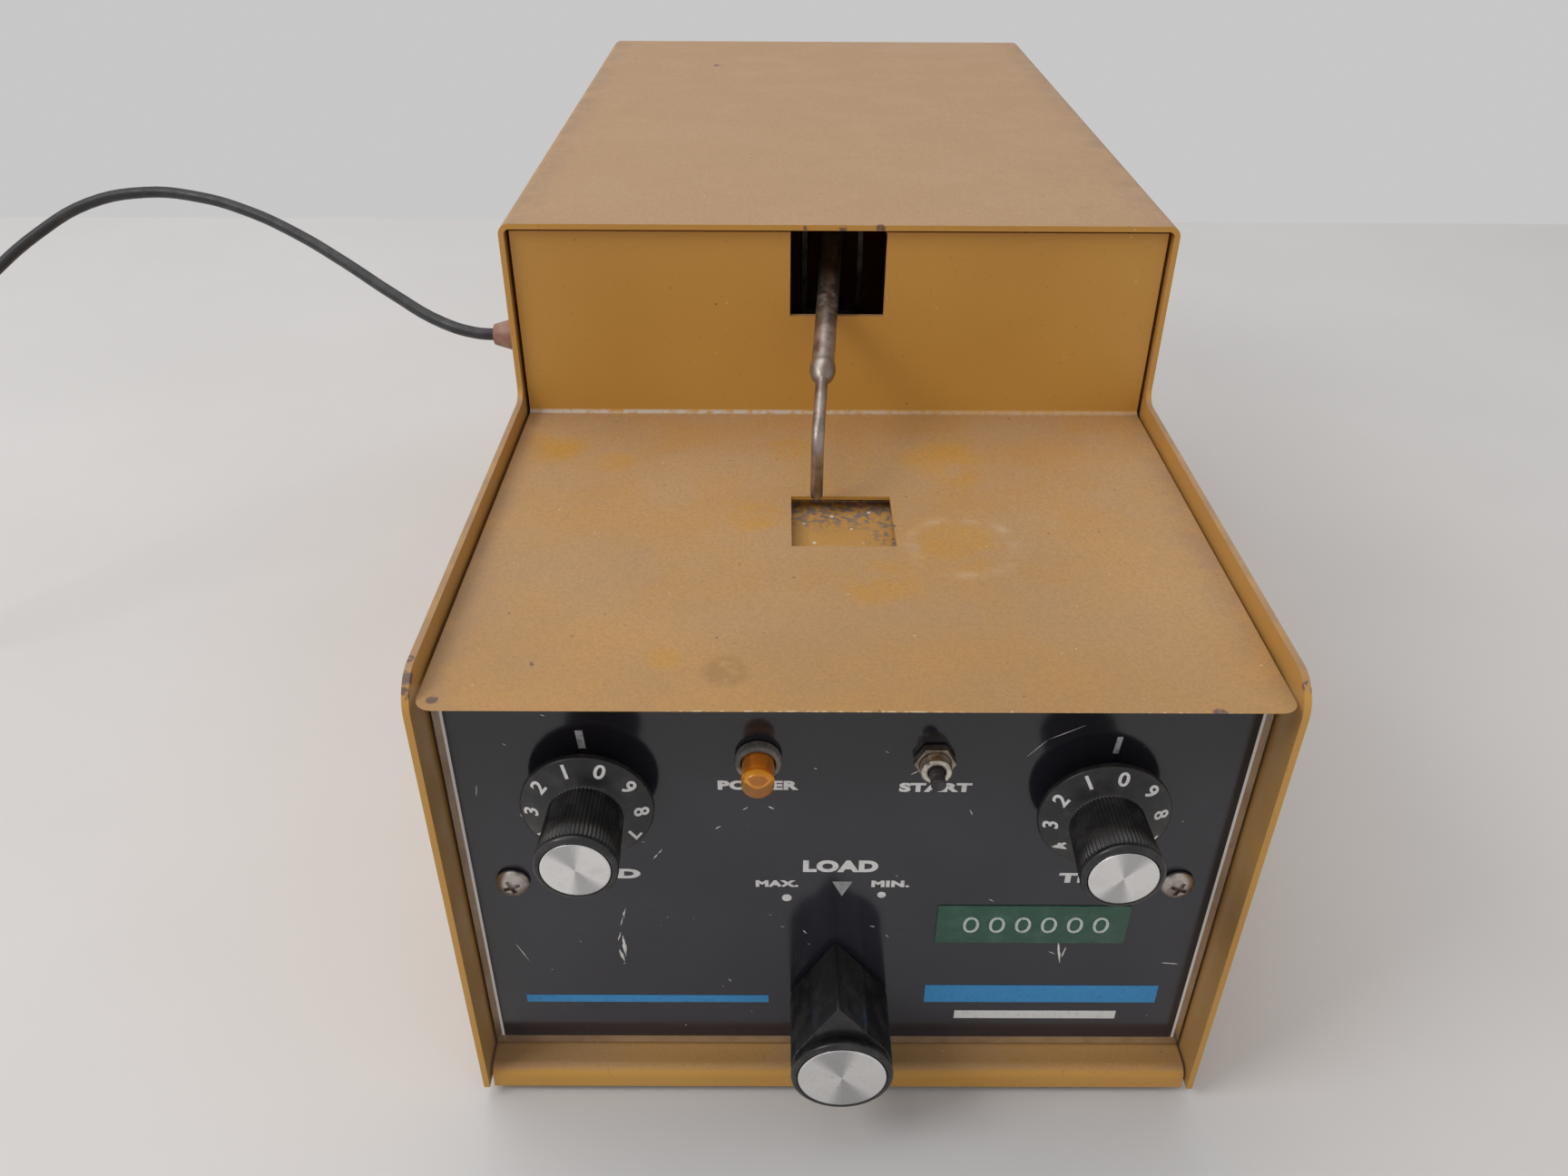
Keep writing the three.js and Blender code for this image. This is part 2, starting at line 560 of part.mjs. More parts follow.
function addLamp(machine) {
  const { x, z } = LAMP;
  const lensFront = PANEL_Y - 9.6;
  const lensRear = PANEL_Y + PANEL_THICK + 1;
  const lens = turnedY([
    [0, lensFront], [2.9, lensFront], [3.5, lensFront + 0.7], [3.5, lensRear],
    [2.6, lensRear], [2.6, lensFront + 2.4], [0, lensFront + 1.6],
  ], x, z, 28);
  const [bezelFront, bezelRear, bezelR] = [PANEL_Y - 2.6, PANEL_Y - FIT_GAP, 5.1];
  const bezel = turnedY([
    [LAMP_R - 0.1, bezelFront], [bezelR - 0.45, bezelFront], [bezelR, bezelFront + 0.5],
    [bezelR, bezelRear], [LAMP_R - 0.1, bezelRear],
  ], x, z, 28);
  const back = lensRear + 0.4;
  const holder = turnedY([
    [0, back], [4.6, back], [4.6, back + 14], [2, back + 14], [2, back + 19], [0, back + 19],
  ], x, z, 20);
  place(machine, 'lamp_lens', lens, AMBER);
  place(machine, 'lamp_bezel', bezel, PLATE);
  place(machine, 'lamp_holder', holder, BAKELITE);
}

const BUTTON = { r: 1.65, front: PANEL_Y - 9, travel: 2.2 };
const START_NUT = 8;             // across flats

function addStartButton(machine) {
  const { x, z } = START;
  const back = PANEL_Y + PANEL_THICK + FIT_GAP;
  const bushFront = PANEL_Y - 5;
  const bodyHalf = 5;
  const plunger = turnedY([
    [0, BUTTON.front], [BUTTON.r - 0.3, BUTTON.front], [BUTTON.r, BUTTON.front + 0.3],
    [BUTTON.r, back + 1], [0, back + 1],
  ], x, z, 24);
  const body = join(
    barY(x, z, SWITCH_BUSH_R, bushFront, back + 1, 28),
    block(x - bodyHalf, x + bodyHalf, back, back + 12, z - bodyHalf, z + bodyHalf),
  );
  const bore = barY(x, z, BUTTON.r + FIT_GAP, bushFront - 1, back + 1 + BUTTON.travel + FIT_GAP, 24);
  const keyway = block(x - 0.45, x + 0.45, bushFront - 1, PANEL_Y + 1, z - 4, z - SWITCH_BUSH_R + 0.6);
  place(machine, 'start_button', plunger, KNOB_BLACK);
  place(machine, 'start_switch', cut(body, bore, keyway), STEEL);
  const nut = hexNut(START, START_NUT, SWITCH_BUSH_R + FIT_GAP, PANEL_Y - 2.4, PANEL_Y - FIT_GAP);
  place(machine, 'start_nut', nut, STEEL);
}

// ---------------------------------------------------------------- arm and its drive
const YOKE = { cheekIn: 7.5, front: -4, rear: 4.5, lowFront: -2.4, low: 155, bottom: 142, top: 176.3 };
const EYE_R = 3.7;
const EYE_HALF = 6.6;
const PIN_R = 2;

// Drawn with the pivot at the origin and the arm towards -Y
function armRod() {
  const profile = [
    [0, 1], [ARM_THICK_R, 1], [ARM_THICK_R, ARM_SHOULDER - 4], [ARM_THICK_R + 0.35, ARM_SHOULDER - 1.6],
    [ARM_THICK_R + 0.4, ARM_SHOULDER + 0.2], [ARM_THICK_R - 0.1, ARM_SHOULDER + 2.2],
    [ARM_THIN_R - 0.1, ARM_SHOULDER + 4.2], [0, ARM_SHOULDER + 4.2],
  ];
  return turnedZ(profile, 0, 0, 20).rotate([90 + THREE.MathUtils.radToDeg(ARM_SLOPE), 0, 0]);
}

function loadArm() {
  const [along, down] = [Math.cos(ARM_SLOPE), Math.sin(ARM_SLOPE)];
  const bendZ = -ARM_REACH * Math.tan(ARM_SLOPE);
  const tipZ = DECK_TOP + 0.6 + ARM_THIN_R - PIVOT_Z;
  const start = new THREE.Vector3(0, -ARM_SHOULDER * along, -ARM_SHOULDER * down);
  const before = new THREE.Vector3(0, -ARM_REACH + ARM_BEND * along, bendZ + ARM_BEND * down);
  const corner = new THREE.Vector3(0, -ARM_REACH, bendZ);
  const after = new THREE.Vector3(0, -ARM_REACH, bendZ - ARM_BEND);
  const tip = new THREE.Vector3(0, -ARM_REACH, tipZ);
  const path = new THREE.CurvePath();
  path.add(new THREE.LineCurve3(start, before));
  path.add(new THREE.QuadraticBezierCurve3(before, corner, after));
  path.add(new THREE.LineCurve3(after, tip));
  const pin = wire(path, ARM_THIN_R, 20, 12);
  const ball = new THREE.SphereGeometry(ARM_THIN_R, 12, 8).rotateX(Math.PI / 2);
  const eye = barX(0, 0, EYE_R, -EYE_HALF, EYE_HALF, 28);
  const tailRear = PUSH_ROD.y - PIVOT_Y + 3.5;
  const tail = block(-4.5, 4.5, 1, tailRear, PUSH_ROD.top + FIT_GAP + 0.2 - PIVOT_Z, -1);
  return cut(
    join(armRod(), pin, toSolid(ball.translate(0, tip.y, tip.z)), eye, tail),
    barX(0, 0, PIN_R + FIT_GAP, -EYE_HALF - 1, EYE_HALF + 1, 24),
  );
}

// The cheeks are set back below the window's lower edge, to clear the wall at the end of the stroke
function swingYoke() {
  const { cheekIn, front, rear, lowFront, low, bottom, top } = YOKE;
  const out = cheekIn + SHEET;
  const cheeks = [[-out, -cheekIn], [cheekIn, out]].flatMap(([x0, x1]) => [
    block(x0, x1, front, rear, low, top),
    block(x0, x1, lowFront, rear, bottom, low + 1),
  ]);
  const web = block(-out, out, lowFront, rear, bottom, bottom + 2);
  const stem = barZ(0, 0, STEM_R, LEVER.bottom, bottom + 1, 28);
  return cut(join(web, ...cheeks, stem), barX(0, PIVOT_Z, PIN_R + FIT_GAP, -out - 1, out + 1, 24));
}

function swingLever() {
  const { lever } = CRANK;
  const half = 11;
  const end = 9;
  const shape = new THREE.Shape();
  shape.absarc(0, 0, half, Math.PI, 2 * Math.PI, false);
  shape.lineTo(half, 20);
  shape.absarc(0, lever, end, 0, Math.PI, false);
  shape.lineTo(-half, 20);
  const plate = prismZ(shape, LEVER.bottom, LEVER.top, 10);
  const pinHole = barZ(0, lever, 3.4, LEVER.bottom - 1, LEVER.top + 1);
  const rodWindow = block(-4.5, 4.5, 5.6, 11, LEVER.bottom - 1, LEVER.top + 1);
  return cut(plate, barZ(0, 0, STEM_R + FIT_GAP, LEVER.bottom - 1, LEVER.top + 1), pinHole, rodWindow);
}

function carriage() {
  const { front, rear, bottom, top, half } = CARRIAGE;
  return cut(
    join(block(-half, half, front, rear, bottom, top), barZ(0, PIVOT_Y, 8.5, top - 1, top + 8)),
    barZ(0, PIVOT_Y, STEM_R + FIT_GAP, bottom - 1, top + 9, 28),
    barZ(0, PUSH_ROD.y, PUSH_ROD.r + FIT_GAP, bottom - 1, top + 9, 20),
    barY(-GUIDE.x, GUIDE.z, GUIDE.r + FIT_GAP, front - 1, rear + 1),
    barY(GUIDE.x, GUIDE.z, GUIDE.r + FIT_GAP, front - 1, rear + 1),
  );
}

function mechanismFrame() {
  const foot = FLOOR_TOP + FIT_GAP;
  const [frontY, rearY, plate, wall, flange] = [118, 242, 3, 2, 10];
  const under = FRAME_TOP - plate;
  const outline = shapeOf([
    [frontY - flange, foot], [frontY + wall, foot], [frontY + wall, under],
    [rearY - wall, under], [rearY - wall, foot], [rearY + flange, foot], [rearY + flange, foot + wall],
    [rearY, foot + wall], [rearY, FRAME_TOP], [frontY, FRAME_TOP],
    [frontY, foot + wall], [frontY - flange, foot + wall],
  ]);
  return cut(
    prismX(outline, -40, 40),
    block(-6, 6, CAM.front, CAM.rear, under - 1, FRAME_TOP + 1),
    barZ(0, CRANK.y, 4, under - 1, FRAME_TOP + 1),
    barY(LOAD.x, LOAD.z, 3.5, frontY - 1, frontY + wall + 1),
  );
}

function guideSupport(y0, y1) {
  const foot = FRAME_TOP + FIT_GAP;
  const [outer, inner, top] = [34, 22, 110];
  return cut(
    join(block(-outer, outer, y0, y1, foot, foot + 3.4), block(-outer, -inner, y0, y1, foot, top),
      block(inner, outer, y0, y1, foot, top)),
    barY(-GUIDE.x, GUIDE.z, GUIDE.r + FIT_GAP, y0 - 1, y1 + 1),
    barY(GUIDE.x, GUIDE.z, GUIDE.r + FIT_GAP, y0 - 1, y1 + 1),
  );
}

// The crank pin stands where the lever's end is at rest, and stops just under the lever
function crankDisc() {
  const { y, radius, lever } = CRANK;
  const x = -lever * Math.sin(ARM_YAW);
  const rise = Math.sqrt(radius * radius - x * x);
  const [shaftR, shaftBottom, discR, discBottom] = [3, 56, 17, 80];
  const disc = turnedZ([
    [0, shaftBottom], [shaftR, shaftBottom], [shaftR, discBottom], [discR, discBottom],
    [discR, CRANK.top], [0, CRANK.top],
  ], 0, y, 28);
  return disc.add(barZ(x, y + rise, 3, CRANK.top - 1, LEVER.bottom - 0.4, 28));
}

function gearMotor() {
  const top = FRAME_TOP - 3 - FIT_GAP;
  const [boreR, gearR, motorR, boreBottom, bottom] = [3.3, 18.5, 15, 54, 12];
  return turnedZ([
    [boreR, boreBottom], [boreR, top], [gearR, top], [gearR, 40], [motorR, 38], [motorR, bottom],
    [0, bottom], [0, boreBottom],
  ], 0, CRANK.y, 28);
}

const SPRING_FOOT = 8;           // its height

function springFoot() {
  const bottom = LOAD.z + CAM.r + FIT_GAP;
  const boreR = PUSH_ROD.r + FIT_GAP;
  return turnedZ([
    [0, bottom], [5, bottom], [6, bottom + 1], [6, bottom + 6], [4.8, bottom + SPRING_FOOT],
    [boreR, bottom + SPRING_FOOT], [boreR, bottom + 2.2], [0, bottom + 2.2],
  ], 0, PUSH_ROD.y, 20);
}

const COLLAR = { bottom: 80.3, top: 83.3, r: 5.4 };

function pushRod() {
  const { r, bottom, top } = PUSH_ROD;
  return turnedZ([
    [0, bottom], [r, bottom], [r, COLLAR.bottom], [COLLAR.r, COLLAR.bottom], [COLLAR.r, COLLAR.top],
    [r, COLLAR.top], [r, top - 0.8], [0.7, top], [0, top],
  ], 0, PUSH_ROD.y, 20);
}

function loadSpring() {
  const wireR = 0.6;
  const meanR = 3.9;
  const turns = 8;
  const z0 = LOAD.z + CAM.r + SPRING_FOOT + 2 * FIT_GAP + wireR;
  const z1 = COLLAR.bottom - FIT_GAP - wireR;
  const steps = 10 * turns;
  const points = [];
  for (let i = 0; i <= steps; i += 1) {
    const angle = 2 * Math.PI * turns * i / steps;
    points.push(new THREE.Vector3(
      meanR * Math.cos(angle), PUSH_ROD.y + meanR * Math.sin(angle), z0 + (z1 - z0) * i / steps));
  }
  return wire(new THREE.CatmullRomCurve3(points), wireR, steps, 5);
}

function addDrive(machine) {
  place(machine, 'mechanism_frame', mechanismFrame(), PLATE);
  place(machine, 'guide_support_front', guideSupport(124, 130), PLATE);
  place(machine, 'guide_support_rear', guideSupport(199.5, 205.5), PLATE);
  for (const [side, x] of [['left', -GUIDE.x], ['right', GUIDE.x]]) {
    place(machine, `guide_rod_${side}`, barY(x, GUIDE.z, GUIDE.r, 122, 208, 24), STEEL);
  }
  place(machine, 'carriage', carriage(), PLATE);
  place(machine, 'gear_motor', gearMotor(), PLATE);
  place(machine, 'crank_disc', crankDisc(), STEEL);
  place(machine, 'push_rod', pushRod(), STEEL);
  place(machine, 'load_spring', loadSpring(), STEEL);
  place(machine, 'spring_foot', springFoot(), BRASS);
  const swing = new THREE.Group();
  swing.position.set(0, PIVOT_Y, 0);
  swing.rotation.z = ARM_YAW;
  machine.add(swing);
  place(swing, 'swing_yoke', swingYoke(), PLATE);
  place(swing, 'swing_lever', swingLever(), PLATE);
  place(swing, 'arm_pivot_pin', barX(0, PIVOT_Z, PIN_R, -9.6, 9.6, 24), STEEL);
  const arm = new THREE.Group();
  arm.position.z = PIVOT_Z;
  swing.add(arm);
  place(arm, 'load_arm', loadArm(), STEEL);
}

// ---------------------------------------------------------------- electrics in the rear of the case
function transformer() {
  const [y, half, bottom, top] = [296, 32, FLOOR_TOP + FIT_GAP, 62];
  const core = block(-half, half, y - 14, y + 14, bottom, top);
  const winding = block(-half + 12, half - 12, y - 24, y + 24, bottom + 9, top - 9);
  return core.add(winding);
}

function circuitBoard() {
  const [x0, x1, y0, y1] = [-62, 34, 330, 392];
  const bottom = FLOOR_TOP + FIT_GAP;
  const [boardTop, inset] = [16, 5];
  const posts = [x0 + inset, x1 - inset].flatMap((x) => [y0 + inset, y1 - inset].map((y) => (
    barZ(x, y, 3, bottom, boardTop, 8))));
  const capacitors = [-40, -18, 4].map((x) => barZ(x, y0 + 16, 8, boardTop - 1, 42, 16));
  const heatSink = block(-50, 20, y1 - 22, y1 - 10, boardTop - 1, 46);
  return join(block(x0, x1, y0, y1, boardTop - 1.6, boardTop), ...posts, ...capacitors, heatSink);
}

// ---------------------------------------------------------------- cord
const GLAND_AT = { y: CENTRE_Y + 4.25, z: 124.3 };
const GLAND_NECK_R = 6;
const GLAND_TIP_X = -111.5;

function cordGland() {
  const skin = -WIDTH / 2;
  const [boreR, tipR, flangeR] = [CORD_R + FIT_GAP, 3.4, 6.6];
  const profile = [
    [boreR, -GLAND_TIP_X], [tipR, -GLAND_TIP_X], [5.3, -skin + 14], [6, -skin + 5], [flangeR, -skin + 4.2],
    [flangeR, -skin + FIT_GAP], [GLAND_NECK_R, -skin + FIT_GAP], [GLAND_NECK_R, -skin - 4],
    [tipR, -skin - 6], [boreR, -skin - 6],
  ];
  return turnedZ(profile, 0, 0, 24).rotate([0, -90, 0]).translate([0, GLAND_AT.y, GLAND_AT.z]);
}

// From the gland's tip, up over a low hump, down beside the machine and along the floor to the coil
const CORD_ROUTE = [
  [-111.8, 4.25, 128.3], [-118, 5, 128.5], [-130, 10, 130], [-150, 24, 135], [-170, 39, 141],
  [-190, 52, 147], [-210, 62, 152], [-230, 69, 155], [-250, 71, 156], [-270, 67, 153], [-286, 57, 145],
  [-300, 44, 134], [-313, 31, 121], [-328, 16, 102], [-341, 3, 82], [-353, -10, 61], [-363, -22, 41],
  [-371, -35, 23], [-376, -49, 10], [-378, -62, 4.3], [-378, -75.8, 3.1],
];
const TAIL_ROUTE = [
  [-378, -114.2, 11.5], [-378, -123, 11.4], [-378, -132, 11.2], [-378, -141, 11.1], [-378, -148, 11],
];

const curveThrough = (route) => new THREE.CatmullRomCurve3(route.map((p) => new THREE.Vector3(...p)));

function cordCoil() {
  const { x, y, inner, outer, bottom, top } = COIL;
  return turnedZ([[inner, bottom], [outer, bottom], [outer, top], [inner, top]], x, y, 36);
}

// A strap round the coil's far side
function cordTie() {
  const { x, y, inner, outer, bottom, top } = COIL;
  const [gap, thick, half] = [FIT_GAP, 0.7, 4];
  const [x0, x1] = [x - outer - gap, x - Math.sqrt(inner * inner - half * half) + gap];
  const around = block(x0 - thick, x1 + thick, y - half, y + half, bottom - 1, top + gap + thick);
  return around.subtract(block(x0, x1, y - half - 1, y + half + 1, bottom - gap, top + gap));
}

function cordPlug() {
  const [x, z] = [TAIL_ROUTE[0][0], 11];
  const back = -148.3;
  const boreR = CORD_R + FIT_GAP;
  const relief = turnedY([
    [boreR, back - 6], [boreR, back], [3.6, back], [5.2, back - 12], [0, back - 12], [0, back - 6],
  ], x, z, 28);
  const body = block(x - 12.5, x + 12.5, back - 36, back - 11, z - 10.5, z + 10.5);
  const blade = (dx) => block(x + dx - 0.8, x + dx + 0.8, back - 53, back - 35, z - 5, z + 1.4);
  const earth = barY(x, z + 6.4, 2.4, back - 56, back - 35, 20);
  return join(relief, body, blade(-6.35), blade(6.35), earth);
}

// ---------------------------------------------------------------- assembly
function addHousing(machine) {
  place(machine, 'cover', coverShell(), PAINT);
  place(machine, 'deck_sheet', deckSheet(), PAINT);
  place(machine, 'recess_pan', recessPan(), PAINT);
  place(machine, 'base_chassis', baseChassis(), PAINT);
  place(machine, 'front_panel', frontPanel(), PANEL_BLACK);
  place(machine, 'panel_bracket_left', panelBracket(-1), PLATE);
  place(machine, 'panel_bracket_right', panelBracket(1), PLATE);
}

function addCord(root) {
  place(root, 'cord_lead', wire(curveThrough(CORD_ROUTE), CORD_R, 44, 10), RUBBER);
  place(root, 'cord_coil', cordCoil(), RUBBER);
  place(root, 'cord_tie', cordTie(), RUBBER);
  place(root, 'cord_tail', wire(curveThrough(TAIL_ROUTE), CORD_R, 6, 10), RUBBER);
  place(root, 'cord_plug', cordPlug(), RUBBER);
}

const polisher = new THREE.Group();
const machine = new THREE.Group();
machine.position.set(0, -CENTRE_Y, FOOT_HEIGHT);
polisher.add(machine);
addHousing(machine);
addScrews(machine);
addFeet(machine);
addDial(machine, 'speed', SPEED);
addDial(machine, 'time', TIME);
addLoadControl(machine);
addLamp(machine);
addStartButton(machine);
addDrive(machine);
place(machine, 'transformer', transformer(), PLATE);
place(machine, 'circuit_board', circuitBoard(), BOARD);
place(machine, 'cord_gland', cordGland(), GLAND);
addCord(polisher);
export default polisher;
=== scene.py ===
# Looks of the bench-top specimen polisher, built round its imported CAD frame. Sizes are in
# millimetres in the machine's own frame (Y = 0 at the side panels' front edges, Z = 0 at their lower
# edges), and at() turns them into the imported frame's metres. The cord's own places are in those
# metres from the start.
import json
import math
import random

import bmesh
import bpy
from mathutils import Matrix, Vector


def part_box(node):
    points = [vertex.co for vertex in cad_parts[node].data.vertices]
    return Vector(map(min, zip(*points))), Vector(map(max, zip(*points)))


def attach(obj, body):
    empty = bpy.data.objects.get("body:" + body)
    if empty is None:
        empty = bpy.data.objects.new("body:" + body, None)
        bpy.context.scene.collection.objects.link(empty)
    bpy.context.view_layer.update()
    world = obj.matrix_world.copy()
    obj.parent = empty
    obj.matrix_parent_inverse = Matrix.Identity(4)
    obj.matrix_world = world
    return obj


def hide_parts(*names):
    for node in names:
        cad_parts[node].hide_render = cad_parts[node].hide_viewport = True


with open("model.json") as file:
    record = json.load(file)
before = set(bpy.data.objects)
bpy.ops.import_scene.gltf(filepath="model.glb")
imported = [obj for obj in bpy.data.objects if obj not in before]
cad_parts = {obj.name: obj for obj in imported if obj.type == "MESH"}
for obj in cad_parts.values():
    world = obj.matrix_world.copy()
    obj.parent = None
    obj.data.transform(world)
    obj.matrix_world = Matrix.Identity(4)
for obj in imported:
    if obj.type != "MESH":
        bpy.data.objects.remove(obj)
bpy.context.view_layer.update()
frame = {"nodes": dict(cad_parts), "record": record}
NODES = frame["nodes"]
MM = 0.001
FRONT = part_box("cover")[0].y
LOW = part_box("cover")[0].z


def at(x, y, z):
    return Vector((x * MM, FRONT + y * MM, LOW + z * MM))


def machine(point):
    return Vector((point.x / MM, (point.y - FRONT) / MM, (point.z - LOW) / MM))


def centre_of(node):
    low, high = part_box(node)
    return machine((low + high) / 2)


def low_of(node):
    return machine(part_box(node)[0])


def high_of(node):
    return machine(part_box(node)[1])


SHEET = 1.5  # thickness of the folded sheets
FIT_GAP = 0.3  # left between CAD pieces that touch
PANEL = low_of("front_panel").y  # front face of the panel
DECK_TOP = high_of("recess_pan").z + FIT_GAP + SHEET
WALL = 135.0  # front face of the wall behind the deck
TOP = high_of("cover").z


def add_object(name, data):
    thing = bpy.data.objects.new(name, data)
    bpy.context.scene.collection.objects.link(thing)
    return thing


# ---- camera
def make_camera():
    pitch, yaw, roll = 33.75, 0.2, 0.32
    focal_share = 0.7731  # focal length as a share of the sensor's width
    data = bpy.data.cameras.new("camera")
    data.sensor_width = 36.0
    data.lens = data.sensor_width * focal_share
    camera = add_object("camera", data)
    turn = (Matrix.Rotation(math.radians(-yaw), 4, "Z")
            @ Matrix.Rotation(math.radians(90 - pitch), 4, "X")
            @ Matrix.Rotation(math.radians(roll), 4, "Z"))
    camera.matrix_world = Matrix.Translation(at(-15.36, -187.75, 280.05)) @ turn
    bpy.context.scene.camera = camera


# ---- procedural materials
class Look:
    """A procedural material that is being put together from nodes."""

    def __init__(self, name, colour, roughness=0.5, metallic=0.0):
        self.material = bpy.data.materials.new(name)
        self.material.use_nodes = True
        self.tree = self.material.node_tree
        self.shader = self.tree.nodes["Principled BSDF"]
        self.spot = self.node("TexCoord").outputs["Object"]
        self.relief = None
        self.set("Base Color", colour)
        self.set("Roughness", roughness)
        self.set("Metallic", metallic)

    def node(self, kind):
        return self.tree.nodes.new("ShaderNode" + kind)

    def feed(self, socket, value):
        if isinstance(value, bpy.types.NodeSocket):
            self.tree.links.new(value, socket)
        elif isinstance(value, tuple) and socket.type == "RGBA":
            socket.default_value = (*value, 1.0)
        else:
            socket.default_value = value

    def set(self, socket, value):
        self.feed(self.shader.inputs[socket], value)

    def math(self, operation, a, b=0.0):
        node = self.node("Math")
        node.operation = operation
        self.feed(node.inputs[0], a)
        self.feed(node.inputs[1], b)
        return node.outputs[0]

    def scaled(self, value, factor):
        return self.math("MULTIPLY", value, factor)

    def all_of(self, first, *others):
        for other in others:
            first = self.math("MULTIPLY", first, other)
        return first

    def any_of(self, first, *others):
        for other in others:
            first = self.math("MAXIMUM", first, other)
        return first

    def inverse(self, value):
        return self.math("SUBTRACT", 1.0, value)

    def step(self, value, low, high, start=0.0, end=1.0):
        """Smoothly from start where value is low to end where it is high."""
        node = self.node("MapRange")
        node.interpolation_type = "SMOOTHSTEP"
        for socket, number in zip(node.inputs, (value, low, high, start, end)):
            self.feed(socket, number)
        return node.outputs[0]

    def vector(self, operation, a, b):
        node = self.node("VectorMath")
        node.operation = operation
        self.feed(node.inputs[0], a)
        self.feed(node.inputs[1], b)
        return node.outputs["Value" if operation == "DISTANCE" else "Vector"]

    def axis(self, name, vector=None):
        node = self.node("SeparateXYZ")
        self.feed(node.inputs[0], vector or self.spot)
        return node.outputs[name]

    def facing(self, name):
        return self.axis(name, self.node("NewGeometry").outputs["Normal"])

    def noise(self, grain, detail=3.0, stretch=(1, 1, 1), rough=0.55):
        """Noise whose features are about grain millimetres across."""
        node = self.node("TexNoise")
        self.feed(node.inputs["Vector"], self.vector("MULTIPLY", self.spot, stretch))
        node.inputs["Scale"].default_value = 1 / (grain * MM)
        node.inputs["Detail"].default_value = detail
        node.inputs["Roughness"].default_value = rough
        return node.outputs[0]

    def specks(self, cell, size, share):
        """Round specks of a size, in millimetres, in a share of the cells."""
        node = self.node("TexVoronoi")
        self.feed(node.inputs["Vector"], self.spot)
        node.inputs["Scale"].default_value = 1 / (cell * MM)
        chosen = self.step(self.axis("X", node.outputs["Color"]), share, share * 0.6)
        round_speck = self.step(node.outputs["Distance"], size / cell, 0.5 * size / cell)
        return self.all_of(round_speck, chosen)

    def near(self, point, radius, soft=0.4, flatten=(1, 1, 1)):
        """1 within radius millimetres of a point, fading to 0 over the outer part."""
        spot = self.vector("MULTIPLY", self.spot, flatten)
        place = Vector(a * b for a, b in zip(point, flatten))
        away = self.vector("DISTANCE", spot, tuple(place))
        return self.step(away, radius * MM, radius * (1 - soft) * MM)

    def mix(self, share, a, b):
        node = self.node("Mix")
        node.data_type = "RGBA"
        self.feed(node.inputs[0], share)
        self.feed(node.inputs[6], a)
        self.feed(node.inputs[7], b)
        return node.outputs[2]

    def tinted(self, colour, share, strength, tint):
        """The colour, moved towards a tint by a share that is scaled by a strength."""
        return self.mix(self.scaled(share, strength), colour, tint)

    def bump(self, height, depth, strength=1.0):
        """Adds relief of a depth in millimetres."""
        node = self.node("Bump")
        node.inputs["Strength"].default_value = strength
        node.inputs["Distance"].default_value = depth * MM
        self.feed(node.inputs["Height"], height)
        if self.relief is not None:
            self.feed(node.inputs["Normal"], self.relief)
        self.relief = node.outputs[0]
        self.feed(self.shader.inputs["Normal"], self.relief)


GOLD = (0.585, 0.305, 0.057)
DEEP_GOLD = (0.52, 0.262, 0.045)
DUST = (0.475, 0.302, 0.172)
TOP_DUST = (0.465, 0.292, 0.163)
# colour that darkens the deck's sides and the inner faces of the side panels
SIDE_DARK = (0.25, 0.18, 0.13)
DARK_GRAIN = (0.26, 0.155, 0.07)
FRONT_SHADE = (0.30, 0.16, 0.06)
OIL = (0.26, 0.14, 0.045)
SWIRL_PALE = (0.60, 0.45, 0.32)
FOLD_PALE = (0.56, 0.51, 0.45)
# pale colour of the front lip: partly wear, partly painted highlight
LIP_WEAR_AND_HIGHLIGHT = (0.80, 0.70, 0.52)
GRIT = (0.17, 0.145, 0.135)
WHITE_BIT = (0.75, 0.73, 0.70)
DARK_SPECK = (0.13, 0.08, 0.05)
PALE_SPECK = (0.72, 0.66, 0.56)
BARE_CHIP = (0.12, 0.075, 0.07)

WIPED_PATCHES = [  # x, y and radius on the deck
    (-78, 114, 13), (-12, 111, 9), (28, 106, 14), (31, 97, 9), (-22, 75, 9), (26, 61, 17),
    (-40, 16, 5), (-60, 104, 8), (8, 45, 12),
]
EDGE_CHIPS = [  # x, y, z and radius
    (-85.2, 2.0, DECK_TOP, 1.5), (72.3, -1.5, DECK_TOP, 1.9), (-90.5, 4.5, 129.6, 2.2),
    (-90.5, 2.0, 127.5, 1.7), (-90.8, 9, 131, 1.4), (90.5, 3.2, 129, 1.5), (1, 133, TOP - 0.8, 1.3),
    (11, 133, TOP - 0.8, 1.5), (-9, 133, TOP - 0.8, 0.8), (-42.4, 346.9, TOP, 2.0),
    (12.7, 70.5, DECK_TOP, 0.9), (-60, 24, DECK_TOP, 0.7), (-67, 14, DECK_TOP, 0.8),
]


def deck_spot(x, y):
    return at(x, y, DECK_TOP)


def between_heights(look, low, high):
    return look.step(look.axis("Z"), at(0, 0, low).z, at(0, 0, high).z)


def pan_floor(look):
    """1 on the floor of the recess under the deck."""
    low, high = low_of("recess_pan"), high_of("recess_pan")
    floor = between_heights(look, low.z + 2.6, low.z + 2.0)
    middle = at(0, (low.y + high.y) / 2, low.z)
    return look.all_of(floor, look.near(middle, 30, 0.1))


def dust_share(look, up, cloudy, front_strip, upper, in_pan):
    """How dusty the enamel is: thicker on the top, thinner where it was wiped."""
    clean = look.any_of(*[look.near(deck_spot(x, y), r, 0.55) for x, y, r in WIPED_PATCHES])
    clean = look.all_of(clean, look.step(look.noise(11, 5), 0.3, 0.6))
    share = look.step(cloudy, 0, 1, 0.50, 0.68)
    share = look.math("ADD", share, look.scaled(upper, 0.25))
    share = look.math("SUBTRACT", share, look.scaled(clean, 0.3))
    share = look.math("SUBTRACT", share, look.scaled(front_strip, 0.12))
    outside_pan = look.inverse(look.scaled(in_pan, 0.7))
    return look.all_of(up, look.step(share, 0, 1), outside_pan)


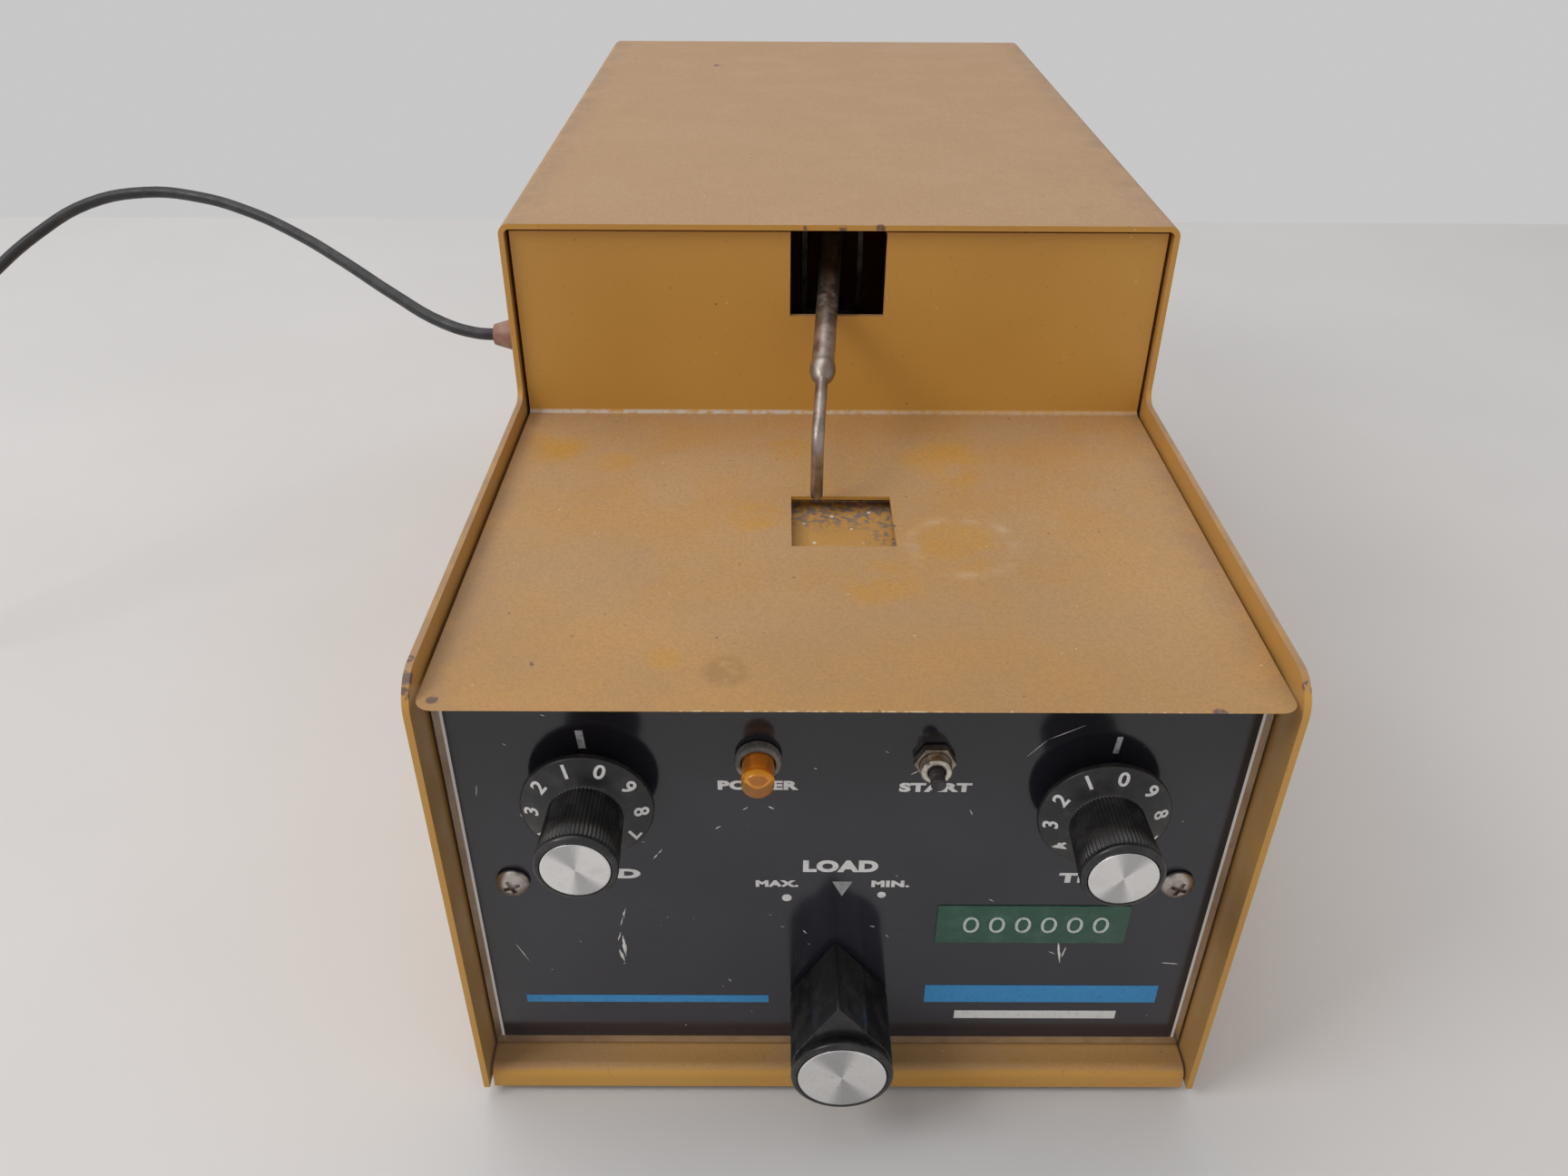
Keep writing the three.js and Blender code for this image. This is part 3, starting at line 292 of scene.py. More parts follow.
def add_side_dirt(look, colour, up):
    """Darker grey-brown along the deck's sides and over the faces inside the side panels, most of all
    low down beside the deck.
    """
    side = look.math("ABSOLUTE", look.axis("X"))
    ragged = look.step(look.noise(9, 5), 0.3, 0.65)
    edge_dark = look.all_of(up, look.step(side, 78 * MM, 90 * MM), ragged)
    sideways = look.step(look.math("ABSOLUTE", look.facing("X")), 0.6, 0.9)
    inner = look.all_of(
        look.step(side, 90.4 * MM, 89.9 * MM), sideways, look.step(look.noise(14, 4), 0.1, 0.5))
    low_inner = look.all_of(inner, between_heights(look, DECK_TOP + 2, DECK_TOP - 3))
    side_dark_share = look.any_of(
        look.scaled(edge_dark, 0.45), look.scaled(inner, 0.22),
        look.scaled(low_inner, 0.38))
    return look.mix(side_dark_share, colour, SIDE_DARK)


def add_swirl(look, colour, up):
    """A faint pale swirl beside the recess."""
    around = look.near(deck_spot(29, 61), 16, 0.2)
    inside = look.near(deck_spot(29, 61), 13, 0.25)
    swirl = look.all_of(around, look.inverse(inside))
    swirl = look.all_of(up, swirl, look.step(look.noise(8, 3), 0.35, 0.65))
    return look.tinted(colour, swirl, 0.4, SWIRL_PALE)


def add_stain(look, colour):
    """An oily stain near the deck's front."""
    ragged = look.step(look.noise(4, 4), 0.3, 0.55)
    stain = look.all_of(look.near(deck_spot(-26.6, 11.6), 6.5, 0.5), ragged)
    return look.tinted(colour, stain, 0.42, OIL)


def add_worn_folds(look, colour):
    """A worn pale line in the fold between deck and wall, and a pale line on the deck's front lip that
    is partly wear and partly painted highlight.
    """
    along_x = (0, 1, 1)
    fold = look.near(at(0, WALL - 0.4, DECK_TOP + 0.3), 0.9, 0.6, along_x)
    left_more = look.step(look.axis("X"), 40 * MM, -30 * MM, 0.3, 0.85)
    fold = look.all_of(fold, look.step(look.noise(2.2, 5), 0.34, 0.56), left_more)
    colour = look.mix(fold, colour, FOLD_PALE)
    # painted highlight along the rounded front lip, broken up like wear
    lip = look.near(at(0, -1.5, DECK_TOP - 0.5), 0.8, 0.5, along_x)
    broken = look.step(look.noise(30, 2), 0.42, 0.6)
    lip = look.all_of(lip, look.step(look.noise(1.1, 3), 0.5, 0.6), broken)
    return look.tinted(colour, lip, 0.7, LIP_WEAR_AND_HIGHLIGHT)


def add_grit(look, colour, in_pan):
    """Grit in the recess, against its rear and right edges."""
    back = look.any_of(look.step(look.axis("Y"), at(0, 72, 0).y, at(0, 82, 0).y),
                       look.step(look.axis("X"), 4 * MM, 12 * MM))
    grit = look.all_of(in_pan, back, look.step(look.noise(1.6, 4), 0.47, 0.55))
    colour = look.tinted(colour, grit, 0.85, GRIT)
    white_bits = look.all_of(in_pan, look.specks(2.4, 0.7, 0.16))
    return look.mix(white_bits, colour, WHITE_BIT)


def paint_look():
    """Ochre enamel, dusty where it faces up, wiped clean in patches, chipped at some edges."""
    look = Look("ochre_enamel", GOLD)
    up = look.step(look.facing("Z"), 0.55, 0.95)
    broad = look.step(look.noise(90, 3), 0.3, 0.7)
    cloudy = look.step(look.noise(26, 6), 0.32, 0.68)
    gold = look.mix(broad, GOLD, DEEP_GOLD)
    front_strip = look.step(look.axis("Y"), at(0, 44, 0).y, at(0, 2, 0).y)
    upper = between_heights(look, TOP - 8, TOP - 2)
    in_pan = pan_floor(look)
    dusty = dust_share(look, up, cloudy, front_strip, upper, in_pan)
    dust = look.mix(broad, DUST, tuple(0.87 * c for c in DUST))
    colour = look.mix(dusty, gold, look.mix(upper, dust, TOP_DUST))
    grains = look.step(look.noise(0.75, 4, rough=0.7), 0.36, 0.64)
    colour = look.mix(look.all_of(up, look.inverse(grains), 0.30), colour, DARK_GRAIN)
    colour = look.mix(look.all_of(up, front_strip, 0.22), colour, FRONT_SHADE)

    colour = add_swirl(look, colour, up)
    colour = add_side_dirt(look, colour, up)
    colour = add_stain(look, colour)
    colour = add_worn_folds(look, colour)
    colour = add_grit(look, colour, in_pan)

    dark_specks = look.scaled(look.specks(4.2, 0.42, 0.14), 0.75)
    fine_specks = look.scaled(look.specks(1.6, 0.26, 0.2), 0.5)
    pale_specks = look.scaled(look.specks(3.4, 0.32, 0.14), 0.55)
    colour = look.mix(look.any_of(dark_specks, fine_specks), colour, DARK_SPECK)
    colour = look.mix(pale_specks, colour, PALE_SPECK)
    chips = look.any_of(*[look.near(at(x, y, z), r, 0.35) for x, y, z, r in EDGE_CHIPS])
    bare = look.all_of(chips, look.step(look.noise(1.6, 4), 0.40, 0.54))
    look.set("Base Color", look.tinted(colour, bare, 0.9, BARE_CHIP))

    rough = look.math("ADD", look.scaled(dusty, 0.5), cloudy)
    look.set("Roughness", look.step(rough, 0, 1.5, 0.40, 0.68))
    look.bump(look.noise(0.9, 2), 0.04, 0.7)
    look.bump(look.noise(2.4, 2), 0.06, 0.5)
    look.bump(look.inverse(look.any_of(bare, dark_specks)), 0.08, 0.8)
    return look.material


def panel_look():
    """Black satin face with a fine white border, on a plate whose bare margin shows."""
    face_half, face_low, line = 86.4, 8.3, 0.65
    look = Look("panel_black", (0.02, 0.02, 0.022), 0.2)
    side = look.math("ABSOLUTE", look.axis("X"))
    height = look.axis("Z")
    crisp = 0.06 * MM

    front = look.step(look.facing("Y"), -0.5, -0.9)
    bottom = at(0, 0, face_low).z
    above = look.all_of(front, look.step(height, bottom - crisp, bottom))
    black = look.all_of(above, look.step(side, face_half * MM + crisp, face_half * MM))
    outer = (face_half + line) * MM
    border = look.all_of(above, look.step(side, outer + crisp, outer))
    haze = look.step(look.noise(30, 5), 0.3, 0.75)
    face = look.mix(haze, (0.018, 0.017, 0.024), (0.025, 0.024, 0.033))
    # painted shade: the black face darkens towards its top, under the deck's overhang
    overhang_shade = look.step(height, at(0, 0, 84).z, at(0, 0, 112).z, 0.0, 0.6)
    face = look.mix(overhang_shade, face, (0.006, 0.005, 0.006))
    dust = look.scaled(look.specks(1.9, 0.16, 0.1), 0.35)
    face = look.mix(dust, face, (0.35, 0.34, 0.34))
    tarnish = look.step(look.noise(6, 5), 0.35, 0.7)
    plate = look.mix(tarnish, (0.72, 0.68, 0.63), (0.58, 0.53, 0.48))
    colour = look.mix(black, look.mix(border, plate, (0.80, 0.79, 0.78)), face)
    look.set("Base Color", colour)
    look.set("Metallic", look.all_of(look.inverse(look.any_of(border, black)), 0.9))
    rough = look.step(look.noise(12, 6), 0.3, 0.7, 0.10, 0.17)
    look.set("Specular IOR Level", 0.62)
    look.set("Roughness", rough)
    look.bump(look.noise(0.5, 2), 0.006, 0.5)
    return look.material


def metal_look(name, colour, dark, roughness, grain=2.5, stretch=(1, 1, 1), rust=0.0, depth=0.012):
    """Bare or plated metal with tarnish, brushing along the stretched axis and a share of rust."""
    look = Look(name, colour, roughness, 1.0)
    stain = look.step(look.noise(grain * 3, 6), 0.35, 0.68)
    tint = look.mix(stain, colour, dark)
    if rust:
        patches = look.noise(grain * 1.3, 6, rough=0.7)
        rusty = look.step(patches, 0.66 - 0.3 * rust, 0.74 - 0.3 * rust)
        tint = look.mix(look.scaled(rusty, 0.85), tint, (0.20, 0.075, 0.03))
        look.set("Metallic", look.inverse(look.scaled(rusty, 0.7)))
    look.set("Base Color", tint)
    wear = look.noise(grain, 5)
    look.set("Roughness", look.step(wear, 0.2, 0.8, roughness - 0.08, roughness + 0.16))
    look.bump(look.noise(grain / 6, 3, stretch), depth, 0.6)
    return look.material


def moulded_look(name, colour, pale, roughness, grain=0.5, dust=0.25, depth=0.01):
    """Moulded plastic or rubber, with dust in a fine grain and slight colour change."""
    look = Look(name, colour, roughness)
    worn = look.scaled(look.step(look.noise(5, 6), 0.42, 0.8), dust)
    tint = look.mix(worn, colour, pale)
    specks = look.scaled(look.specks(1.1, 0.12, 0.12), dust)
    look.set("Base Color", look.mix(specks, tint, pale))
    wear = look.noise(3, 5)
    look.set("Roughness", look.step(wear, 0.25, 0.75, roughness - 0.07, roughness + 0.12))
    look.bump(look.noise(grain, 3), depth, 0.6)
    return look.material


def spun_look(name, centre, lean, pit_share):
    """Spun aluminium: fine turning rings, and a painted fan of light and shade about the centre in
    place of the sheen the rings give.
    """
    look = Look(name, (0.80, 0.79, 0.77), 0.33, 1.0)
    flat = look.vector("MULTIPLY", look.spot, (1, 0, 1))
    away = look.vector("DISTANCE", flat, (at(*centre).x, 0, at(*centre).z))
    rings = look.math("SINE", look.scaled(away, 2 * math.pi / (0.16 * MM)))
    across = look.math("SUBTRACT", look.axis("X"), at(*centre).x)
    above = look.math("SUBTRACT", look.axis("Z"), at(*centre).z)
    turn = look.math("ARCTAN2", across, above)
    # painted light and shade: bright and dark sectors by angle about the centre, turned by lean, with
    # fine painted streaks
    fan = look.math("COSINE", look.scaled(look.math("ADD", turn, lean), 2))
    fan = look.step(fan, 0.15, 1.0)
    streaks = look.math("SINE", look.scaled(turn, 37))
    fan = look.math("ADD", fan, look.scaled(streaks, 0.04))
    middle = at(*centre).x
    pitted = look.step(look.axis("X"), middle + 3 * MM, middle - 1 * MM, 0.25, 1)
    pits = look.all_of(look.specks(1.5, 0.3, pit_share), pitted, 0.75)
    smears = look.step(look.noise(3.5, 5), 0.45, 0.75)
    # the painted fan of light and shade sets the cap's colour between bright and dark
    tint = look.mix(fan, (0.84, 0.83, 0.82), (0.50, 0.49, 0.50))
    tint = look.mix(look.scaled(smears, 0.15), tint, (0.55, 0.52, 0.50))
    look.set("Base Color", look.mix(pits, tint, (0.30, 0.27, 0.26)))
    look.set("Roughness", look.step(smears, 0, 1, 0.27, 0.38))
    look.set("Anisotropic", 0.85)
    tangent = look.node("Tangent")
    tangent.direction_type = "RADIAL"
    tangent.axis = "Y"
    look.set("Tangent", tangent.outputs[0])
    look.bump(rings, 0.002, 0.25)
    return look.material


def print_look(name, colour, wear=0.25):
    look = Look(name, colour, 0.5)
    thin = look.scaled(look.step(look.noise(1.2, 5), 0.48, 0.75), wear)
    look.set("Base Color", look.mix(thin, colour, tuple(0.25 * c for c in colour)))
    look.set("Roughness", look.step(look.noise(2, 3), 0.3, 0.7, 0.42, 0.58))
    look.bump(look.noise(0.3, 2), 0.004, 0.4)
    return look.material


def lens_look():
    look = Look("amber_clear", (0.98, 0.5, 0.06), 0.08)
    cloud = look.step(look.noise(2.5, 4), 0.3, 0.7)
    look.set("Base Color", look.mix(cloud, (1.0, 0.50, 0.07), (0.96, 0.38, 0.03)))
    look.set("Roughness", look.step(look.noise(1.5, 3), 0.3, 0.7, 0.05, 0.16))
    look.set("Transmission Weight", 0.75)
    look.set("IOR", 1.49)
    look.bump(look.noise(1.6, 2), 0.02, 0.3)
    return look.material


def floor_look():
    look = Look("table_laminate", (0.67, 0.66, 0.65), 0.55)
    cloud = look.step(look.noise(160, 4), 0.3, 0.7)
    marks = look.scaled(look.specks(34, 1.1, 0.12), 0.18)
    tint = look.mix(cloud, (0.685, 0.675, 0.67), (0.66, 0.65, 0.643))
    look.set("Base Color", look.mix(marks, tint, (0.4, 0.38, 0.36)))
    look.bump(look.noise(1.2, 2), 0.01, 0.3)
    return look.material


LOOKS = {
    "paint": paint_look(),
    "panel_plate": panel_look(),
    "plated_steel": metal_look("plated_dull", (0.50, 0.47, 0.43), (0.27, 0.22, 0.18), 0.38),
    "bare_steel": metal_look("ground_steel", (0.52, 0.50, 0.48), (0.36, 0.33, 0.31), 0.3),
    "arm_steel": metal_look(
        "arm_bare_steel", (0.44, 0.39, 0.355), (0.24, 0.195, 0.165), 0.38, 2.2, (1, 0.12, 0.12),
        0.16, 0.02),
    "mill_aluminium": metal_look("milled", (0.62, 0.62, 0.61), (0.45, 0.45, 0.44), 0.4),
    "brass": metal_look("dull_brass", (0.58, 0.42, 0.18), (0.33, 0.22, 0.10), 0.36),
    "foot_rubber": moulded_look(
        "foot_black", (0.022, 0.022, 0.022), (0.18, 0.17, 0.16), 0.8, 0.9, 0.3, 0.04),
    "cord_rubber": moulded_look(
        "cord_black", (0.018, 0.018, 0.020), (0.12, 0.12, 0.12), 0.42, 0.8, 0.2),
    "knob_plastic": moulded_look(
        "knob_black", (0.012, 0.012, 0.013), (0.20, 0.18, 0.17), 0.30, 0.5, 0.16),
    "lamp_bezel": moulded_look(
        "bezel_grey", (0.10, 0.10, 0.095), (0.42, 0.40, 0.34), 0.55, 0.5, 0.9, 0.03),
    "moulded_brown": moulded_look("holder_brown", (0.16, 0.09, 0.05), (0.3, 0.22, 0.16), 0.5),
    "gland_plastic": moulded_look(
        "gland_brown", (0.26, 0.125, 0.09), (0.42, 0.27, 0.21), 0.5, 0.7, 0.6, 0.03),
    "board_green": moulded_look(
        "board_lacquer", (0.03, 0.15, 0.06), (0.2, 0.3, 0.2), 0.4, 0.6, 0.3),
    "amber_lens": lens_look(),
    "print_white": print_look("ink_white", (0.74, 0.73, 0.72)),
    "print_blue": print_look("ink_blue", (0.035, 0.27, 0.58)),
    "label_tape": moulded_look(
        "tape_green", (0.020, 0.085, 0.053), (0.10, 0.20, 0.15), 0.28, 0.6, 0.4),
}


# ---- piece making
def add_piece(name, mesh, slot, body, replaces=(), look=None):
    """Adds a mesh as a piece, in its slot's own look unless it has another."""
    piece = add_object(name, mesh)
    mesh.materials.clear()
    mesh.materials.append(look or LOOKS[slot])
    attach(piece, body)
    if replaces:
        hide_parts(*replaces)


def mesh_of(name, corners, faces, smooth=True):
    """A mesh from corners in machine millimetres."""
    mesh = bpy.data.meshes.new(name)
    mesh.from_pydata([at(*c) for c in corners], [], faces)
    mesh.polygons.foreach_set("use_smooth", [smooth] * len(mesh.polygons))
    mesh.update()
    return mesh


def outward(mesh):
    work = bmesh.new()
    work.from_mesh(mesh)
    bmesh.ops.remove_doubles(work, verts=work.verts, dist=1e-6)
    bmesh.ops.recalc_face_normals(work, faces=work.faces)
    work.to_mesh(mesh)
    work.free()
    return mesh


def turned(name, centre, profile, sides, wave=None):
    """A turned mesh about an axis along Y. The profile is (radius, y) from front to rear, and
    wave(angle, y, radius) changes the radius."""
    corners, faces = [], []
    for radius, y in profile:
        for i in range(sides):
            angle = 2 * math.pi * i / sides
            r = radius + (wave(angle, y, radius) if wave else 0.0)
            corners.append((centre.x + r * math.sin(angle), y, centre.z + r * math.cos(angle)))
    for ring in range(len(profile) - 1):
        for i in range(sides):
            j = (i + 1) % sides
            a, b = ring * sides, (ring + 1) * sides
            faces.append((a + i, a + j, b + j, b + i))
    return outward(mesh_of(name, corners, faces))


def add_turned(name, centre, profile, sides, slot, body, replaces=(), look=None, wave=None):
    add_piece(name, turned(name, centre, profile, sides, wave), slot, body, replaces, look)


def behind(front, *steps):
    """A profile's (radius, y) corners from (radius, distance behind front)."""
    return [(radius, front + step) for radius, step in steps]


def swept(name, rings):
    """A closed skin over rings of the same number of corners."""
    sides = len(rings[0])
    corners = [c for ring in rings for c in ring]
    faces = []
    for k in range(len(rings) - 1):
        for i in range(sides):
            j = (i + 1) % sides
            faces.append((k * sides + i, k * sides + j, (k + 1) * sides + j, (k + 1) * sides + i))
    faces.append(tuple(reversed(range(sides))))
    faces.append(tuple((len(rings) - 1) * sides + i for i in range(sides)))
    return outward(mesh_of(name, corners, faces))


SHARP_ANGLE = 32.0  # degrees: edges sharper than this are rounded
FLAT_ANGLE = 0.6  # degrees: facets nearer than this are one face


def soften(piece, width, segments):
    """Rounds a piece's sharp edges without moving the piece."""
    for polygon in piece.data.polygons:
        polygon.use_smooth = True
    weld = piece.modifiers.new("weld", "WELD")
    weld.merge_threshold = 1e-5
    flat = piece.modifiers.new("flat", "DECIMATE")
    flat.decimate_type = "DISSOLVE"
    flat.angle_limit = math.radians(FLAT_ANGLE)
    bevel = piece.modifiers.new("bevel", "BEVEL")
    bevel.width = width * MM
    bevel.segments = segments
    bevel.limit_method = "ANGLE"
    bevel.angle_limit = math.radians(SHARP_ANGLE)
    bevel.harden_normals = True
    normals = piece.modifiers.new("normals", "WEIGHTED_NORMAL")
    normals.keep_sharp = True


# ---- cord
CORD_DIAMETER = 0.004
CORD_ROUTE = [
    (-0.1118, 0.00425, 0.1283), (-0.118, 0.005, 0.1285), (-0.130, 0.010, 0.130), (-0.150, 0.024, 0.135),
    (-0.170, 0.039, 0.141), (-0.190, 0.052, 0.147), (-0.210, 0.062, 0.152), (-0.230, 0.069, 0.155),
    (-0.250, 0.071, 0.156), (-0.270, 0.067, 0.153), (-0.286, 0.057, 0.145), (-0.300, 0.044, 0.134),
    (-0.313, 0.031, 0.121), (-0.328, 0.016, 0.102), (-0.341, 0.003, 0.082), (-0.353, -0.010, 0.061),
    (-0.363, -0.022, 0.041), (-0.371, -0.035, 0.023), (-0.376, -0.049, 0.010), (-0.378, -0.062, 0.0043),
    (-0.378, -0.0758, 0.0031),
]
TAIL_ROUTE = [
    (-0.378, -0.1142, 0.0115), (-0.378, -0.123, 0.0114), (-0.378, -0.132, 0.0112),
    (-0.378, -0.141, 0.0111), (-0.378, -0.150, 0.011),
]
COIL_CENTRE = (-0.345, -0.095)
COIL_TURNS = [  # radius and height of each turn
    (0.033, 0.0031), (0.0285, 0.0031), (0.024, 0.0031), (0.024, 0.0073), (0.0285, 0.0073),
    (0.033, 0.0073), (0.033, 0.0115),
]
TURN_POINTS = 18
CHANGE_SHARE = 0.3  # part of a turn that the change to it takes


def coil_points():
    x, y = COIL_CENTRE
    points = []
    for turn, (radius, height) in enumerate(COIL_TURNS):
        last_radius, last_height = COIL_TURNS[max(0, turn - 1)]
        for i in range(TURN_POINTS):
            share = min(1.0, i / TURN_POINTS / CHANGE_SHARE)
            ease = share * share * (3 - 2 * share)
            r = last_radius + (radius - last_radius) * ease
            z = last_height + (height - last_height) * ease
            angle = math.pi + 2 * math.pi * i / TURN_POINTS
            points.append((x + r * math.cos(angle), y + r * math.sin(angle), z))
    last_radius, last_height = COIL_TURNS[-1]
    points.append((x - last_radius, y, last_height))
    return points


def make_cord():
    inside_gland = (-0.0985, 0.00425, 0.1283)
    route = [inside_gland, *CORD_ROUTE, *coil_points(), *TAIL_ROUTE]
    curve = bpy.data.curves.new("mains_cord", "CURVE")
    curve.dimensions = "3D"
    curve.bevel_depth = CORD_DIAMETER / 2
    curve.bevel_resolution = 5
    curve.resolution_u = 5
    curve.use_fill_caps = True
    line = curve.splines.new("BEZIER")
    line.bezier_points.add(len(route) - 1)
    for knot, place in zip(line.bezier_points, route):
        knot.co = place
        knot.handle_left_type = knot.handle_right_type = "AUTO"
    cord = add_object("mains_cord", curve)
    curve.materials.append(LOOKS["cord_rubber"])
    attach(cord, "housing")
    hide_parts("cord_lead", "cord_coil", "cord_tail")


# ---- knobs
DIAL_FLUTES = 60
SKIRT_INNER, SKIRT_RISE = 9.6, 7.4  # where the skirt's sloping face starts


def flutes(count, front, rear, depth):
    def wave(angle, y, radius):
        if not front <= y <= rear or radius < 1:
            return 0.0
        return -depth * (0.5 - 0.5 * math.cos(count * angle)) ** 0.7
    return wave


def make_cap(word, body, lean=0.0, pit_share=0.03):
    node = f"{word}_knob_cap"
    centre = centre_of(node)
    radius = high_of(node).x - centre.x
    front, rear = low_of(node).y, high_of(node).y
    profile = behind(
        front, (0.0, 0.12), (0.25 * radius, 0.1), (0.6 * radius, 0.06), (radius - 0.7, 0.02),
        (radius - 0.35, 0.0), (radius - 0.1, 0.08), (radius, 0.25))
    profile += [(radius, rear), (0.0, rear)]
    look = spun_look(f"spun_{word}", tuple(centre), lean, pit_share)
    add_turned(f"{word}_cap_disc", centre, profile, 96, "spun_aluminium", body, [node], look)


def make_dial(word, turned_by):
    """Skirted knob with a fluted grip. turned_by is how far its zero stands past the panel's line."""
    body = f"{word}_dial"
    centre = centre_of(f"{word}_knob_cap")
    front = low_of(f"{word}_knob").y
    rear = high_of(f"{word}_knob").y
    skirt = high_of(f"{word}_knob").z - centre.z
    grip_front, grip_rear = front + 2.3, PANEL - 8.0
    profile = behind(
        front, (0.0, 0.75), (7.5, 0.75), (7.5, 0.05), (7.7, -0.02), (8.3, 0.12), (8.75, 0.5),
        (8.85, 0.95), (8.8, 1.35), (8.45, 1.65), (8.25, 1.95))
    profile += behind(grip_front, (8.35, 0.0), (8.75, 0.35), (8.45, 6.0))
    profile += behind(grip_rear, (8.2, -0.4), (8.1, 0.0))
    profile += behind(
        PANEL, (8.3, -7.8), (8.9, -7.58), (SKIRT_INNER, -SKIRT_RISE), (skirt - 0.4, -6.15),
        (skirt - 0.1, -6.0), (skirt, -5.7), (skirt, -4.8), (skirt - 0.15, -4.6), (9.4, -4.6))
    profile += [(9.4, rear), (0.0, rear)]
    wave = flutes(DIAL_FLUTES, grip_front, grip_rear, 0.36)
    add_turned(f"{word}_grip", centre, profile, DIAL_FLUTES * 4, "knob_plastic", body,
               [f"{word}_knob"], wave=wave)
    make_cap(word, body, 0.35 if word == "speed" else -0.2)
    make_digits(word, centre, turned_by, body)


TEXT_THICK = 0.02  # of a text mesh before it is fitted, in font units


def text_mesh(name, word, embolden=0.0, tracking=1.0):
    """The flat mesh of a word and its width and height, in font units."""
    curve = bpy.data.curves.new(name, "FONT")
    curve.body = word
    curve.size = 1.0
    curve.offset = embolden
    curve.space_character = tracking
    curve.resolution_u = 4
    curve.extrude = TEXT_THICK / 2
    holder = add_object(name, curve)
    graph = bpy.context.evaluated_depsgraph_get()
    mesh = bpy.data.meshes.new_from_object(holder.evaluated_get(graph))
    bpy.data.objects.remove(holder)
    bpy.data.curves.remove(curve)
    xs = [v.co.x for v in mesh.vertices]
    ys = [v.co.y for v in mesh.vertices]
    return mesh, (min(xs), max(xs)), (min(ys), max(ys))


def fitted(mesh, span_x, span_y, width, height, thick):
    """Scales a text mesh about its middle to a size in millimetres."""
    sx = width / (span_x[1] - span_x[0])
    sy = height / (span_y[1] - span_y[0])
    middle = Vector(((span_x[0] + span_x[1]) / 2, (span_y[0] + span_y[1]) / 2, 0))
    mesh.transform(Matrix.Diagonal((sx, sy, thick / TEXT_THICK, 1)) @ Matrix.Translation(-middle))
    return mesh


def joined(name, meshes):
    work = bmesh.new()
    for mesh in meshes:
        work.from_mesh(mesh)
        bpy.data.meshes.remove(mesh)
    whole = bpy.data.meshes.new(name)
    work.to_mesh(whole)
    work.free()
    whole.update()
    return whole


def placed(mesh, right, up, origin):
    """Carries a mesh drawn in millimetres in the XY plane to a place on the machine."""
    right, up = Vector(right).normalized(), Vector(up).normalized()
    out = right.cross(up)
    turn = Matrix((right, up, out)).transposed().to_4x4()
    mesh.transform(Matrix.Translation(at(*origin)) @ turn @ Matrix.Scale(MM, 4))
    return mesh


def make_digits(word, centre, turned_by, body):
    ring, height, widen = 11.9, 3.4, 1.12
    slope = math.atan2(1.25, 4.5)  # the skirt's own slope
    depth = PANEL - SKIRT_RISE + (ring - SKIRT_INNER) * math.tan(slope) - 0.03
    made = []
    for digit in range(10):
        angle = math.radians(turned_by - 36 * digit)
        mesh, span_x, span_y = text_mesh(f"digit_{digit}", str(digit), 0.022)
        width = (span_x[1] - span_x[0]) * height / (span_y[1] - span_y[0]) * widen
        fitted(mesh, span_x, span_y, width, height, 0.06)
        right = (math.cos(angle), 0, -math.sin(angle))
        up = (math.sin(angle) * math.cos(slope), math.sin(slope), math.cos(angle) * math.cos(slope))
        spot = (centre.x + ring * math.sin(angle), depth, centre.z + ring * math.cos(angle))
        made.append(placed(mesh, right, up, spot))
    whole = joined(f"{word}_digits", made)
    add_piece(f"{word}_digits", whole, "print_white", body)


FLUTE_PITCH = 0.85
FLUTE_POINTS = 4


def pointer_outline(radius, tip, smooth, dip):
    """Teardrop seen from the front, as (x, z) about the shaft: flanks from the point, fluted past
    smooth, then a fluted round."""
    def flute(i):
        return dip * (0.5 - 0.5 * math.cos(2 * math.pi * i / FLUTE_POINTS))

    tangent = math.acos(radius / tip)
    end = (radius * math.sin(tangent), radius * math.cos(tangent))
    start = (smooth, tip + (end[1] - tip) * smooth / end[0])
    inward = (-math.sin(tangent), -math.cos(tangent))
    nose, blunt = 0.5, tip - 0.55
    half = [(0.0, tip - 0.25), (nose * 0.5, tip - 0.32), (nose, blunt)]
    half += [(nose + (smooth - nose) * k / 6, blunt + (start[1] - blunt) * k / 6) for k in range(1, 7)]
    flank_points = round(math.dist(start, end) / FLUTE_PITCH) * FLUTE_POINTS
    for i in range(1, flank_points + 1):
        along = i / flank_points
        half.append((start[0] + (end[0] - start[0]) * along + inward[0] * flute(i),
                     start[1] + (end[1] - start[1]) * along + inward[1] * flute(i)))
    first = math.pi / 2 - tangent
    arc = first + math.pi / 2
    round_points = round(arc * radius / FLUTE_PITCH) * FLUTE_POINTS
    for i in range(1, round_points + 1):
        angle = first - arc * i / round_points
        r = radius - flute(i)
        half.append((r * math.cos(angle), r * math.sin(angle)))
    return half + [(-x, z) for x, z in reversed(half[1:-1])]


